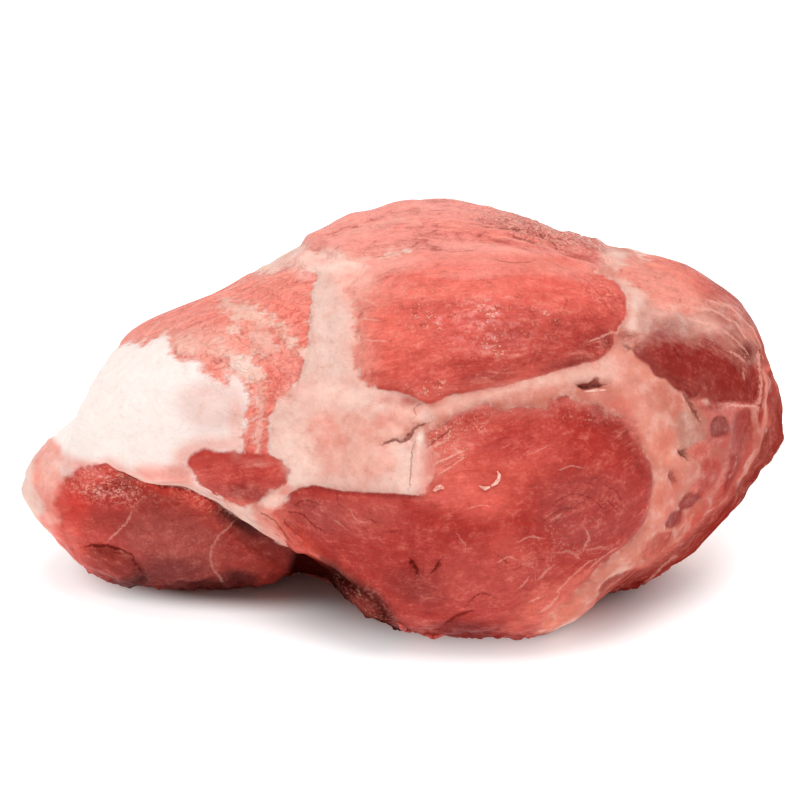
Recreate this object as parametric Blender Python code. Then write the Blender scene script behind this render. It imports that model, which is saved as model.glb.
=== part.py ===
"""Boneless pork leg, raw and trimmed of its rind: one closed solid built from its muscles.

Metres, +Z up. It lies on a flat spot at z = 0, and the origin is the bottom centre of its box.
The narrow shank end is at -X, the rump end at +X, and the large cut face at -Y.
"""

import math
from collections import namedtuple

import bmesh
import bpy
from mathutils import Euler, Matrix, Vector

MM = 0.001

Cut = namedtuple("Cut", "point outward")
Lobe = namedtuple("Lobe", "middle half turn square cuts", defaults=((0, 0, 0), 2.0, ()))

# The shank end was trimmed to a steep shoulder under the cap and a gentler slope down to the tip.
SHOULDER = Cut((-126, 3, 90), (-0.943, 0.125, 0.309))
TIP_SLOPE = Cut((-143, -3, 74), (-0.633, 0.29, 0.717))

# Lobes are in millimetres, their turns in degrees. A lobe is a ball squared off by the number after its turn.
# The body of the leg, whose lobes melt into one another.
BODY_LOBES = {
    "core": Lobe((9, 22, 67), (114, 80, 73), (0, 2, 0), 2.3),
    "crown": Lobe((18, 32, 103), (78, 56, 55), (0, 4, 0)),
    "rump": Lobe((93, 24, 80), (68, 70, 58), (0, 14, 0), 2.1),
    "rump_low": Lobe((86, 16, 56), (66, 66, 56), (0, -10, 0), 2.1),
    "back": Lobe((0, 62, 54), (112, 52, 56), (0, 0, 0), 2.4),
    "shank": Lobe((-86, 22, 61), (56, 54, 48), (0, -20, 0), 2.6, (SHOULDER,)),
    "shank_tip": Lobe((-131, 4, 48), (34, 40, 23), (0, -16, 0), 2.4, (TIP_SLOPE,)),
    "rump_foot": Lobe((80, 6, 26), (44, 44, 30), (0, 0, 0), 2.4),
    "bridge": Lobe((-14, -8, 72), (62, 52, 44), (0, 0, 0), 2.2),
    "right_seam": Lobe((84, -34, 66), (30, 28, 44)),
}

# The single muscles and the fat cap, which keep a seam where they meet the body.
MUSCLE_LOBES = {
    "top": Lobe((34, -15, 98), (63, 52, 43), (38, 8, 0), 2.3),
    "front": Lobe(
        (30, -20, 52), (84, 63, 57), (4, 6, 0), 2.5,
        (
            Cut((-26, -57, 27), (-0.63, -0.38, -0.68)),
            Cut((80, -47, 13), (0.6, -0.4, -0.7)),
            Cut((30, -63, 6), (0, -0.6, -0.8)),
        ),
    ),
    "middle_fat": Lobe(
        (-36, -12, 66), (58, 49, 43), (0, 0, 0), 2.2,
        (Cut((-65, -55, 57), (-0.5, -0.3, -0.8)),),
    ),
    "left_face": Lobe((-91, 15, 35), (61, 49, 38), (4, 2, 0), 2.6),
    "fat_cap": Lobe(
        (-82, 4, 73), (54, 60, 44), (0, -26, -6), 3.2,
        (Cut((-100, -50, 68), (0.1, -0.3, -0.94)), SHOULDER),
    ),
    "rump_end": Lobe((128, 24, 59), (36, 45, 40), (0, 14, 0), 2.2, (Cut((139, 24, 31), (0.81, 0, -0.585)),)),
    "right_lens": Lobe((112, -10, 96), (34, 30, 26), (30, 20, 0)),
    "back_low": Lobe((-20, 66, 40), (70, 52, 44), (0, 0, 4), 2.2),
    "back_high": Lobe((12, 52, 98), (78, 44, 44), (-36, -6, 6), 2.2),
}

LOBE_SUBDIVISIONS = 5
BODY_VOXEL = 4 * MM
BODY_SMOOTHING = 60
MUSCLE_VOXEL = 2.5 * MM
MUSCLE_SMOOTHING = 14
SMOOTHING_STEP = 0.5
TRIANGLES = 10500

RAW_LEAN = (0.58, 0.11, 0.085, 1.0)
LEAN_ROUGHNESS = 0.42


def clear_scene():
    for obj in list(bpy.data.objects):
        bpy.data.objects.remove(obj, do_unlink=True)


def cut_flat(bm, point, outward):
    """Cut away what lies past a plane, and close the cut."""
    found = bmesh.ops.bisect_plane(
        bm,
        geom=bm.verts[:] + bm.edges[:] + bm.faces[:],
        plane_co=point,
        plane_no=outward,
        clear_outer=True,
    )
    rim = [item for item in found["geom_cut"] if isinstance(item, bmesh.types.BMEdge)]
    bmesh.ops.holes_fill(bm, edges=rim, sides=0)


def add_lobe(bm, lobe):
    """Add a squared ball, turned, set in place and cut."""
    ball = bmesh.new()
    bmesh.ops.create_icosphere(ball, subdivisions=LOBE_SUBDIVISIONS, radius=1)
    for vert in ball.verts:
        vert.co /= sum(abs(part) ** lobe.square for part in vert.co) ** (1 / lobe.square)
    place = Matrix.Translation(Vector(lobe.middle) * MM)
    spin = Euler([math.radians(angle) for angle in lobe.turn]).to_matrix().to_4x4()
    size = Matrix.Diagonal((*(half * MM for half in lobe.half), 1))
    bmesh.ops.transform(ball, matrix=place @ spin @ size, verts=ball.verts)
    for cut in lobe.cuts:
        cut_flat(ball, Vector(cut.point) * MM, Vector(cut.outward))
    mesh = bpy.data.meshes.new("lobe")
    ball.to_mesh(mesh)
    ball.free()
    bm.from_mesh(mesh)
    bpy.data.meshes.remove(mesh)


def evaluated_copy(obj, name):
    """The mesh that an object's modifiers give; the object is removed."""
    bpy.context.view_layer.update()
    graph = bpy.context.evaluated_depsgraph_get()
    mesh = bpy.data.meshes.new_from_object(obj.evaluated_get(graph), depsgraph=graph)
    mesh.name = name
    bpy.data.objects.remove(obj, do_unlink=True)
    return mesh


def scratch_object(mesh):
    obj = bpy.data.objects.new("scratch", mesh)
    bpy.context.scene.collection.objects.link(obj)
    return obj


def skin_over(lobes, inner, voxel, smoothing, name):
    """One closed skin over a set of lobes and, where given, an inner mesh."""
    bm = bmesh.new()
    if inner:
        bm.from_mesh(inner)
    for lobe in lobes.values():
        add_lobe(bm, lobe)
    mesh = bpy.data.meshes.new(name)
    bm.to_mesh(mesh)
    bm.free()
    obj = scratch_object(mesh)
    remesh = obj.modifiers.new("skin", "REMESH")
    remesh.mode = "VOXEL"
    remesh.voxel_size = voxel
    smooth = obj.modifiers.new("smooth", "SMOOTH")
    smooth.factor = SMOOTHING_STEP
    smooth.iterations = smoothing
    return evaluated_copy(obj, name)


def thinned(mesh, triangles, name):
    """The same form in about so many triangles."""
    obj = scratch_object(mesh)
    thin = obj.modifiers.new("thin", "DECIMATE")
    mesh.calc_loop_triangles()
    thin.ratio = triangles / len(mesh.loop_triangles)
    thin.use_collapse_triangulate = True
    return evaluated_copy(obj, name)


def rest_on_flat(mesh):
    """Cut the underside flat at z = 0, and centre the box over the origin."""
    bm = bmesh.new()
    bm.from_mesh(mesh)
    cut_flat(bm, Vector((0, 0, 0)), Vector((0, 0, -1)))
    bmesh.ops.triangulate(bm, faces=bm.faces[:])
    for axis in (0, 1):
        places = [vert.co[axis] for vert in bm.verts]
        middle = (min(places) + max(places)) / 2
        for vert in bm.verts:
            vert.co[axis] -= middle
    bm.to_mesh(mesh)
    bm.free()


def raw_meat():
    material = bpy.data.materials.new("raw_meat")
    material.use_nodes = True
    shader = material.node_tree.nodes["Principled BSDF"]
    shader.inputs["Base Color"].default_value = RAW_LEAN
    shader.inputs["Roughness"].default_value = LEAN_ROUGHNESS
    shader.inputs["Metallic"].default_value = 0.0
    return material


def pork_leg():
    body = skin_over(BODY_LOBES, None, BODY_VOXEL, BODY_SMOOTHING, "body")
    leg = skin_over(MUSCLE_LOBES, body, MUSCLE_VOXEL, MUSCLE_SMOOTHING, "leg")
    mesh = thinned(leg, TRIANGLES, "pork_leg")
    rest_on_flat(mesh)
    mesh.materials.clear()
    mesh.materials.append(raw_meat())
    mesh.shade_smooth()
    obj = bpy.data.objects.new("pork_leg", mesh)
    bpy.context.scene.collection.objects.link(obj)
    return obj


clear_scene()
pork_leg()
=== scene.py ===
"""Raw boneless pork leg on a pale table: its lean muscles, seams, fat cap and torn membranes."""

import math

import bmesh
import bpy
import numpy as np
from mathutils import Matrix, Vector, noise
from mathutils.bvhtree import BVHTree


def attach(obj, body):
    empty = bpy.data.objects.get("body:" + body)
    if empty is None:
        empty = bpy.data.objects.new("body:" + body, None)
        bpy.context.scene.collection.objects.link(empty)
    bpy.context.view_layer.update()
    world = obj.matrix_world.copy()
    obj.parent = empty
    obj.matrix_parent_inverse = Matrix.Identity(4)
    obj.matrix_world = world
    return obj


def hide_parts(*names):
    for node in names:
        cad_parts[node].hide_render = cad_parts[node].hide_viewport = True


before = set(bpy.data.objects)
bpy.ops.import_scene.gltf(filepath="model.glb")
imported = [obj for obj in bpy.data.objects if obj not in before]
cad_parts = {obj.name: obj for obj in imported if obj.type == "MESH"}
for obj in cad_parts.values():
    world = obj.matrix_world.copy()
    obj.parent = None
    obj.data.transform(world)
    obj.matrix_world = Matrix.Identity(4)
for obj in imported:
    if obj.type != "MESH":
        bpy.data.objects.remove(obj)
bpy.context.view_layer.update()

# Camera and projection.
# The leg is seen along +Y from a little above, with a long lens. The marks on the meat are drawn in the
# photograph's pixels, 800 across, so the same lens also says where a point of the skin shows.
MM = 0.001
PICTURE = 800
LENS = 85.0
SENSOR = 36.0
ELEVATION = math.radians(22)
DISTANCE = 0.790
AIM = Vector((-0.0023, -0.0175, 0.0822))
ZOOM = PICTURE * LENS / SENSOR
PIXELS_PER_MM = ZOOM / (DISTANCE / MM)

forward = Vector((0, math.cos(ELEVATION), -math.sin(ELEVATION)))
upward = Vector((0, math.sin(ELEVATION), math.cos(ELEVATION)))
camera = bpy.data.objects.new("camera", bpy.data.cameras.new("camera"))
camera.data.lens = LENS
camera.data.sensor_width = SENSOR
camera.location = AIM - forward * DISTANCE
camera.rotation_mode = "QUATERNION"
camera.rotation_quaternion = forward.to_track_quat("-Z", "Y")
bpy.context.scene.collection.objects.link(camera)
bpy.context.scene.camera = camera


def seen_at(points):
    """Where points of the leg show in the photograph, in pixels."""
    ray = points - np.array(camera.location)
    scale = ZOOM / (ray @ np.array(forward))
    return np.stack([PICTURE / 2 + ray[:, 0] * scale, PICTURE / 2 - (ray @ np.array(upward)) * scale], axis=1)


# Flesh: the skin of the solid.
# The leg is one piece of raw meat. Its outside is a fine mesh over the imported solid, a vertex every
# 2.5 mm and half of that on the side that shows, with the facets smoothed away before any relief is put on.
SKIN_VOXEL = 2.46 * MM
SKIN_SMOOTHING = 9
FINE_SMOOTHING = 4
SMOOTHING_STEP = 0.5
SEEN_PAST_OUTLINE = 0.06

cad_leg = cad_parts["pork_leg"]
flesh = bpy.data.objects.new("flesh", cad_leg.data.copy())
bpy.context.scene.collection.objects.link(flesh)
remesh = flesh.modifiers.new("skin", "REMESH")
remesh.mode = "VOXEL"
remesh.voxel_size = SKIN_VOXEL
smooth = flesh.modifiers.new("smooth", "SMOOTH")
smooth.factor = SMOOTHING_STEP
smooth.iterations = SKIN_SMOOTHING
bpy.context.view_layer.update()
graph = bpy.context.evaluated_depsgraph_get()
flesh_mesh = bpy.data.meshes.new_from_object(flesh.evaluated_get(graph), depsgraph=graph)
flesh.modifiers.clear()
flesh.data = flesh_mesh
flesh_mesh.materials.clear()

build = bmesh.new()
build.from_mesh(flesh_mesh)
shown = [face for face in build.faces if face.normal.dot(forward) < SEEN_PAST_OUTLINE]
shown_edges = list({edge for face in shown for edge in face.edges})
bmesh.ops.subdivide_edges(build, edges=shown_edges, cuts=1, use_grid_fill=True)
for turn in range(FINE_SMOOTHING):
    bmesh.ops.smooth_vert(
        build, verts=build.verts, factor=SMOOTHING_STEP, use_axis_x=True, use_axis_y=True, use_axis_z=True
    )
build.to_mesh(flesh_mesh)
build.free()

count = len(flesh_mesh.vertices)
place = np.empty(count * 3, np.float32)
flesh_mesh.vertices.foreach_get("co", place)
place = place.reshape(-1, 3).astype(np.float64)
outward = np.empty(count * 3, np.float32)
flesh_mesh.vertices.foreach_get("normal", outward)
outward = outward.reshape(-1, 3).astype(np.float64)


# Views of the skin.
# Marks are drawn flat on four sides: the photograph's own view in pixels, and the back and the two ends in
# millimetres. Each side's drawing fades into the next where the skin turns away.
TINY = 1e-6
MIDDLE_HEIGHT = 80 * MM
BACK_TILT = math.radians(22)
FRONT_FADES = (-0.04, 0.07)


def step(low, high, value):
    """0 below low, 1 above high, smooth between."""
    part = np.clip((value - low) / (high - low), 0, 1)
    return part * part * (3 - 2 * part)


level = place - np.array((0, 0, MIDDLE_HEIGHT))
back_up = np.array((0, -math.sin(BACK_TILT), math.cos(BACK_TILT)))
sides = {
    "front": seen_at(place) / PIXELS_PER_MM,
    "back": np.stack([-level[:, 0], level @ back_up], axis=1) / MM,
    "right": level[:, 1:3] / MM,
    "left": np.stack([-level[:, 1], level[:, 2]], axis=1) / MM,
}
facing_front = outward @ -np.array(forward)
front_share = step(*FRONT_FADES, facing_front)
turned = {
    "back": np.clip(outward @ np.array((0, math.cos(BACK_TILT), math.sin(BACK_TILT))), 0, 1) ** 2,
    "right": np.clip(outward[:, 0], 0, 1) ** 3,
    "left": np.clip(-outward[:, 0], 0, 1) ** 3,
}
turned_sum = sum(turned.values()) + TINY
shares = {"front": front_share}
for name, turn in turned.items():
    shares[name] = (1 - front_share) * (turn + (TINY if name == "back" else 0)) / turned_sum


# Marks on the skin: lean and fat.
# The leg is fat underneath, and each muscle shows through it as a patch of lean. A few sheets of fat lie
# over the muscles again. Patches are laid in order, the later ones on top.
FAR = 9.0
COVER_SOFT = 1.2
GRAIN_REACH = -2.2
STREAK_FADE = 1.6
FIBRE_DEPTH = 0.6
COLOUR_REACH = 3.0


def curve_through(points, closed, parts=5):
    """A smooth curve through given points."""
    knots = np.array(points, float)
    last = len(knots) if closed else len(knots) - 1
    found = []
    for i in range(last):
        if closed:
            a, b, c, d = (knots[(i + k) % len(knots)] for k in (-1, 0, 1, 2))
        else:
            a, b, c, d = (knots[min(max(i + k, 0), len(knots) - 1)] for k in (-1, 0, 1, 2))
        for part in range(parts):
            t = part / parts
            bent = (2 * a - 5 * b + 4 * c - d) * t * t + (3 * b - a - 3 * c + d) * t**3
            found.append(0.5 * (2 * b + (c - a) * t + bent))
    if not closed:
        found.append(knots[-1])
    return np.array(found)


def near_line(spots, curve, closed):
    """How far spots are from a line, and on which side of its nearest stretch they are."""
    starts = curve if closed else curve[:-1]
    ends = np.roll(curve, -1, axis=0) if closed else curve[1:]
    best = np.full(len(spots), np.inf)
    hand = np.zeros(len(spots))
    for a, b in zip(starts, ends):
        run = b - a
        away = spots - a
        along = np.clip((away @ run) / max(run @ run, 1e-9), 0, 1)
        gap = away - along[:, None] * run
        square = (gap**2).sum(axis=1)
        closer = square < best
        best[closer] = square[closer]
        hand[closer] = np.sign(run[0] * away[closer, 1] - run[1] * away[closer, 0])
    return np.sqrt(best), hand


def is_inside(spots, curve):
    """Which spots a closed curve goes round."""
    inside = np.zeros(len(spots), bool)
    for a, b in zip(curve, np.roll(curve, -1, axis=0)):
        if a[1] == b[1]:
            continue
        crosses = (a[1] > spots[:, 1]) != (b[1] > spots[:, 1])
        meets = (b[0] - a[0]) * (spots[:, 1] - a[1]) / (b[1] - a[1]) + a[0]
        inside ^= crosses & (spots[:, 0] < meets)
    return inside


def on_side(side, points):
    """Given points of a side, in its millimetres."""
    return np.array(points, float) / (PIXELS_PER_MM if side == "front" else 1.0)


def depth_inside(side, outline):
    """How deep the skin's vertices lie inside an outline, in mm, below 0 outside it."""
    curve = curve_through(on_side(side, outline), closed=True)
    spots = sides[side]
    low, high = curve.min(axis=0) - FAR, curve.max(axis=0) + FAR
    close = np.all((spots > low) & (spots < high), axis=1) & (shares[side] > 0)
    depth = np.full(len(spots), -FAR)
    distance, hand = near_line(spots[close], curve, closed=True)
    depth[close] = np.where(is_inside(spots[close], curve), distance, -distance)
    return np.maximum(depth, -FAR)


def linear(rgb):
    """A colour as a screen shows it, 0 to 255, as light."""
    part = np.array(rgb, float) / 255
    return np.where(part <= 0.04045, part / 12.92, ((part + 0.055) / 1.055) ** 2.4)


FAT_CREAM = (244, 208, 192)
LEAN_ROSE = (204, 92, 80)

layers = {}
for side in sides:
    layers[side] = {
        "fat_depth": np.full(count, FAR),
        "blur": np.full(count, 0.8),
        "fray": np.full(count, 0.5),
        "lean": np.tile(linear(LEAN_ROSE), (count, 1)),
        "fat": np.tile(linear(FAT_CREAM), (count, 1)),
        "grain": np.stack([sides[side][:, 0] * 0.15, sides[side][:, 1], level[:, 1] / MM], axis=1),
        "streak": np.full(count, 0.5),
        "crinkle": np.zeros(count),
        "rise": np.zeros(count),
    }


def paint(side, kinds, part, colour):
    """Mix a colour into lean, fat or both, by a share for each vertex."""
    layer = layers[side]
    for kind in kinds:
        layer[kind] = layer[kind] * (1 - part[:, None]) + linear(colour) * part[:, None]


def lay(
    side, kind, outline, colour, grain=0.0, bend=0.0, streak=0.5, stretch=0.12, rise=0.0, edge=2.0, fray=0.5,
    blur=0.8, crinkle=0.0, reach=COLOUR_REACH,
):
    """Lay one patch of lean or fat: its colour, the run of its fibres, and how far it stands up."""
    layer = layers[side]
    depth = depth_inside(side, outline)
    cover = step(-reach, min(COVER_SOFT, 0.4 * reach), depth)
    if kind == "lean":
        layer["fat_depth"] = np.minimum(layer["fat_depth"], -depth)
        flat = sides[side]
        centre = on_side(side, outline).mean(axis=0)
        turn = math.radians(grain) * (-1 if side == "front" else 1)
        along = (flat - centre) @ np.array((math.cos(turn), math.sin(turn)))
        across = (flat - centre) @ np.array((-math.sin(turn), math.cos(turn))) + bend * along**2
        fibres = np.stack([along * stretch, across, level[:, 1] / MM * FIBRE_DEPTH], axis=1)
        taken = depth > GRAIN_REACH
        layer["grain"] = np.where(taken[:, None], fibres, layer["grain"])
        layer["streak"] = np.where(taken, streak, layer["streak"])
        layer["crinkle"] = layer["crinkle"] * (1 - step(-3, 0, depth)) + crinkle * step(-3, 0, depth)
        layer["streak"] = layer["streak"] * (1 - np.exp(-(((depth - GRAIN_REACH) / STREAK_FADE) ** 2)))
    else:
        layer["fat_depth"] = np.maximum(layer["fat_depth"], depth)
    paint(side, (kind,), cover, colour)
    layer["rise"] = layer["rise"] + rise * step(-0.3 * edge, edge, depth)
    close = np.exp(-((np.abs(depth) / (1.0 + reach)) ** 2))
    layer["fray"] = layer["fray"] * (1 - close) + fray * close
    layer["blur"] = layer["blur"] * (1 - close) + blur * close


def tint(side, washes):
    """Washes of tone on lean and fat alike: outline, colour, strength, and the width of the soft edge."""
    for outline, colour, strength, blur in washes:
        part = strength * step(-blur, blur, depth_inside(side, outline))
        paint(side, ("lean", "fat"), part, colour)


def oval(side, middle, half, turn):
    """1 in the middle of an oval of the skin, and 0 outside it."""
    scale = PIXELS_PER_MM if side == "front" else 1.0
    away = sides[side] - np.array(middle) / scale
    angle = math.radians(turn) * (-1 if side == "front" else 1)
    x = away @ np.array((math.cos(angle), math.sin(angle))) / (half[0] / scale)
    y = away @ np.array((-math.sin(angle), math.cos(angle))) / (half[1] / scale)
    return step(1.0, 0.2, np.sqrt(x * x + y * y))


def dab(side, spots):
    """Soft ovals of tone on lean and fat alike: middle, half size, turn, colour, strength."""
    for middle, half, turn, colour, strength in spots:
        paint(side, ("lean", "fat"), strength * oval(side, middle, half, turn), colour)


# Fat cap and outer rim.
# White back fat from under the rind wraps the shank end. Its cut rim, where rind was taken off, is pink.
CAP = [
    (60, 400), (90, 350), (130, 330), (215, 360), (262, 400), (262, 470), (200, 505), (110, 478), (60, 470),
    (36, 446),
]
RIM = [
    (60, 452), (50, 462), (58, 478), (56, 503), (61, 520), (67, 536), (75, 552), (90, 574), (104, 592),
    (70, 580), (44, 545), (26, 518), (8, 500), (6, 462), (24, 440), (44, 436),
]
lay("front", "fat", CAP, (250, 234, 227), rise=0.8, edge=8, fray=1.0, blur=1.4)
lay("front", "fat", RIM, (238, 154, 140), rise=0.0, edge=4, fray=0.8, blur=2.0)
lay(
    "front", "fat", [(4, 450), (22, 442), (34, 448), (31, 470), (33, 495), (40, 512), (20, 515), (4, 490)],
    (240, 200, 186),
)
lay(
    "front", "lean", [(37, 452), (46, 443), (51, 450), (46, 466), (47, 484), (42, 492), (37, 478)],
    (232, 140, 126), grain=80, fray=1.0, blur=2.0,
)
# The first and last washes are the pink of the cap's lower edge, partly painted shade; the middle one is a
# patch of painted shade on the cap.
tint("front", [
    ([(58, 452), (90, 462), (112, 458), (140, 474), (180, 484), (150, 486), (116, 474), (90, 466),
      (62, 470)], (232, 150, 134), 0.7, 3.0),
    ([(180, 392), (215, 380), (246, 396), (238, 424), (206, 430), (184, 416)], (232, 196, 188), 0.8, 5.0),
    ([(176, 450), (200, 438), (250, 440), (272, 448), (240, 452), (200, 456), (186, 480), (172, 470)],
     (238, 170, 156), 0.7, 4.0),
])

# Shank muscle.
# Pale red lean above the cap, under the thinnest veil of fat, with torn patches of fat left on it. It runs
# down between cap and stem as a narrow striped band.
SHANK_LEAN = [
    (96, 338), (119, 347), (132, 343), (142, 346), (156, 338), (164, 332), (170, 338), (173, 356),
    (181, 360), (190, 358), (199, 361), (202, 372), (216, 381), (226, 384), (228, 366), (242, 379),
    (249, 399), (245, 416), (240, 434), (244, 446), (248, 462), (268, 464), (270, 437), (271, 413),
    (279, 399), (288, 395), (297, 386), (299, 374), (306, 362), (307, 342), (309, 318), (312, 290),
    (315, 274), (306, 267), (286, 265), (272, 271), (257, 271), (238, 262), (196, 280), (146, 306),
    (110, 325),
]
lay(
    "front", "lean", SHANK_LEAN, (240, 124, 108), grain=28, streak=0.6, rise=0.6, edge=3, fray=1.3, blur=1.4,
    crinkle=1.0,
)
tint("front", [
    ([(124, 335), (160, 318), (210, 296), (262, 268), (300, 268), (304, 300), (270, 300), (226, 306),
      (190, 326), (160, 334)], (236, 148, 132), 0.45, 7.0),
    ([(174, 332), (212, 322), (236, 340), (262, 372), (250, 384), (224, 374), (200, 358), (180, 356)],
     (240, 170, 154), 0.55, 4.0),
    ([(262, 364), (292, 340), (304, 346), (300, 380), (278, 398), (270, 430), (262, 430)],
     (214, 98, 84), 0.3, 4.0),
])
lay(
    "front", "fat", [(222, 300), (240, 302), (258, 310), (274, 319), (288, 332), (300, 346), (305, 357),
     (292, 349), (279, 338), (262, 329), (246, 325), (232, 318)], (240, 184, 166), fray=1.8, blur=1.8,
)
for torn_off, tone in (
    ([(231, 324), (240, 321), (244, 331), (237, 337), (230, 332)], (240, 184, 168)),
    ([(250, 332), (262, 328), (272, 338), (275, 352), (268, 362), (257, 357), (250, 346)], (236, 172, 156)),
    ([(211, 342), (218, 337), (225, 343), (222, 352), (213, 350)], (240, 184, 168)),
    ([(227, 352), (240, 351), (253, 362), (264, 372), (262, 384), (250, 381), (238, 374), (229, 365)],
     (242, 204, 190)),
    ([(175, 340), (188, 336), (204, 342), (200, 352), (190, 356), (176, 351)], (240, 176, 160)),
    ([(257, 388), (262, 384), (264, 420), (260, 458), (255, 458), (257, 420)], (238, 170, 154)),
):
    lay("front", "fat", torn_off, tone, fray=2.0, blur=2.2)

# Lens muscle.
# A small dark red lens of lean shows through the lower edge of the cap.
LENS_MUSCLE = [
    (187, 463), (193, 453), (207, 448), (220, 452), (234, 450), (248, 452), (267, 455), (283, 461),
    (288, 473), (283, 485), (269, 492), (259, 501), (246, 506), (233, 503), (219, 495), (206, 485),
    (195, 474),
]
lay("front", "lean", LENS_MUSCLE, (190, 60, 50), grain=8, streak=0.3, rise=1.0, edge=4, fray=0.35, blur=0.9)

# Shank face.
# The knife cut across the shank end under the lip of the cap: wet lean in three parts, with a grainy
# upper corner where the fibres are cut across. The shadow under the lip and the dark along the table are
# painted shade in its colour, and it is painted lighter where the lip shades its top.
SHANK_FACE = [
    (57, 493), (65, 479), (79, 468), (99, 465), (108, 463), (116, 472), (131, 479), (150, 486), (170, 489),
    (188, 492), (206, 501), (222, 513), (240, 525), (257, 535), (275, 547), (293, 556), (306, 566),
    (302, 582), (290, 600), (200, 610), (120, 604), (87, 574), (73, 551), (65, 535), (60, 519), (55, 504),
]
dab("front", [((290, 366), (22, 20), 0, (246, 156, 142), 0.6)])
lay(
    "front", "lean", SHANK_FACE, (176, 58, 48), grain=14, streak=0.2, stretch=0.4, rise=0.0, edge=3,
    fray=0.6, blur=1.2,
)
lay(
    "front", "lean", [(88, 549), (110, 550), (128, 558), (141, 574), (140, 592), (110, 594), (86, 574)],
    (160, 52, 42), grain=-20,
)
# The first wash is a painted shadow under the lip, and the third is painted shade along the table.
tint("front", [
    ([(206, 502), (226, 514), (276, 546), (304, 566), (290, 574), (250, 552), (216, 520)],
     (84, 14, 10), 0.7, 2.0),
    ([(216, 526), (250, 544), (296, 572), (292, 590), (250, 594), (222, 574)], (150, 46, 38), 0.5, 5.0),
    ([(94, 590), (150, 588), (220, 592), (280, 588), (280, 600), (90, 604)], (120, 36, 30), 0.6, 3.0),
    ([(52, 494), (64, 478), (86, 466), (96, 500), (80, 530), (90, 570), (74, 566), (58, 524)],
     (216, 62, 48), 0.7, 5.0),
    ([(130, 520), (160, 504), (200, 512), (216, 540), (210, 578), (160, 574), (124, 548)],
     (170, 78, 70), 0.6, 6.0),
])

dab("front", [
    ((48, 470), (16, 40), 0, (246, 188, 174), 0.8),
    ((72, 497), (18, 26), 60, (226, 68, 58), 0.6),
    ((92, 480), (34, 16), 14, (232, 86, 74), 0.9),
    ((114, 500), (30, 16), 0, (206, 66, 58), 0.8),
    ((68, 532), (14, 22), 60, (224, 78, 64), 0.7),
    ((98, 538), (26, 12), 0, (196, 72, 62), 0.8),
    # Painted light: the lean under the lip is made lighter where the lip shades it.
    ((160, 489), (40, 9), -14, (232, 84, 70), 0.9),
    ((196, 502), (30, 10), -28, (238, 96, 82), 0.9),
    ((170, 572), (70, 24), 0, (112, 32, 28), 0.8),
    # Painted shade along the table.
    ((128, 584), (44, 14), 8, (86, 22, 18), 0.9),
    ((210, 590), (70, 12), 0, (84, 20, 16), 0.9),
    ((76, 560), (12, 34), 40, (206, 70, 56), 0.7),
    # Painted shade low on the face, by the table.
    ((240, 580), (30, 14), 0, (66, 10, 8), 0.85),
    ((158, 475), (34, 8), -14, (246, 160, 146), 0.8),
    ((186, 482), (26, 8), -16, (240, 158, 138), 0.6),
    ((248, 495), (36, 11), -4, (150, 34, 28), 0.85),
    ((220, 486), (20, 8), -30, (170, 48, 40), 0.6),
    ((236, 424), (12, 44), 0, (240, 184, 170), 0.6),
    ((168, 474), (46, 13), -13, (240, 150, 136), 0.8),
    ((244, 489), (28, 12), -8, (150, 38, 32), 0.7),
    ((276, 470), (14, 14), 0, (208, 80, 68), 0.5),
    ((236, 502), (20, 5), -14, (214, 98, 84), 0.6),
    ((240, 513), (34, 7), -36, (234, 156, 140), 0.6),
    ((179, 471), (20, 10), -10, (222, 130, 114), 0.7),
    ((70, 536), (9, 34), 28, (206, 74, 60), 0.8),
    # Painted shadow under the lip.
    ((238, 526), (36, 7), -36, (58, 6, 4), 0.8),
    ((304, 274), (14, 10), 0, (250, 186, 174), 0.6),
    ((254, 494), (34, 9), -6, (160, 44, 38), 0.7),
    # Painted shade at the mouth of the hollow.
    ((298, 566), (14, 18), 0, (104, 24, 20), 0.7),
    # Painted shade along the table.
    ((196, 586), (70, 8), 0, (86, 22, 18), 0.5),
    ((74, 552), (16, 22), 50, (206, 76, 62), 0.6),
])

# Stem and middle fat.
# Seam fat runs down between the shank and the top muscle, and spreads into a smooth pinkish sheet.
STEM = [
    (272, 262), (300, 249), (330, 256), (352, 260), (372, 256), (392, 251), (412, 249), (396, 255),
    (376, 261), (360, 269), (349, 280), (352, 300), (356, 330), (354, 352), (360, 380), (376, 390),
    (404, 398), (420, 404), (438, 408), (450, 404), (445, 422), (431, 434), (436, 460), (426, 494),
    (377, 494), (338, 492), (316, 486), (294, 490), (282, 505), (292, 530), (303, 553), (285, 548),
    (262, 534), (240, 520), (224, 508), (208, 497), (190, 488), (150, 485), (130, 478), (200, 484),
    (232, 507), (258, 506), (270, 495), (290, 478), (284, 456), (268, 452), (270, 413), (288, 396),
    (300, 375), (308, 345), (311, 300), (316, 274), (300, 265),
]
lay("front", "fat", STEM, (230, 191, 178), rise=0.7, edge=2.4, fray=0.7, blur=0.7)
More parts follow.
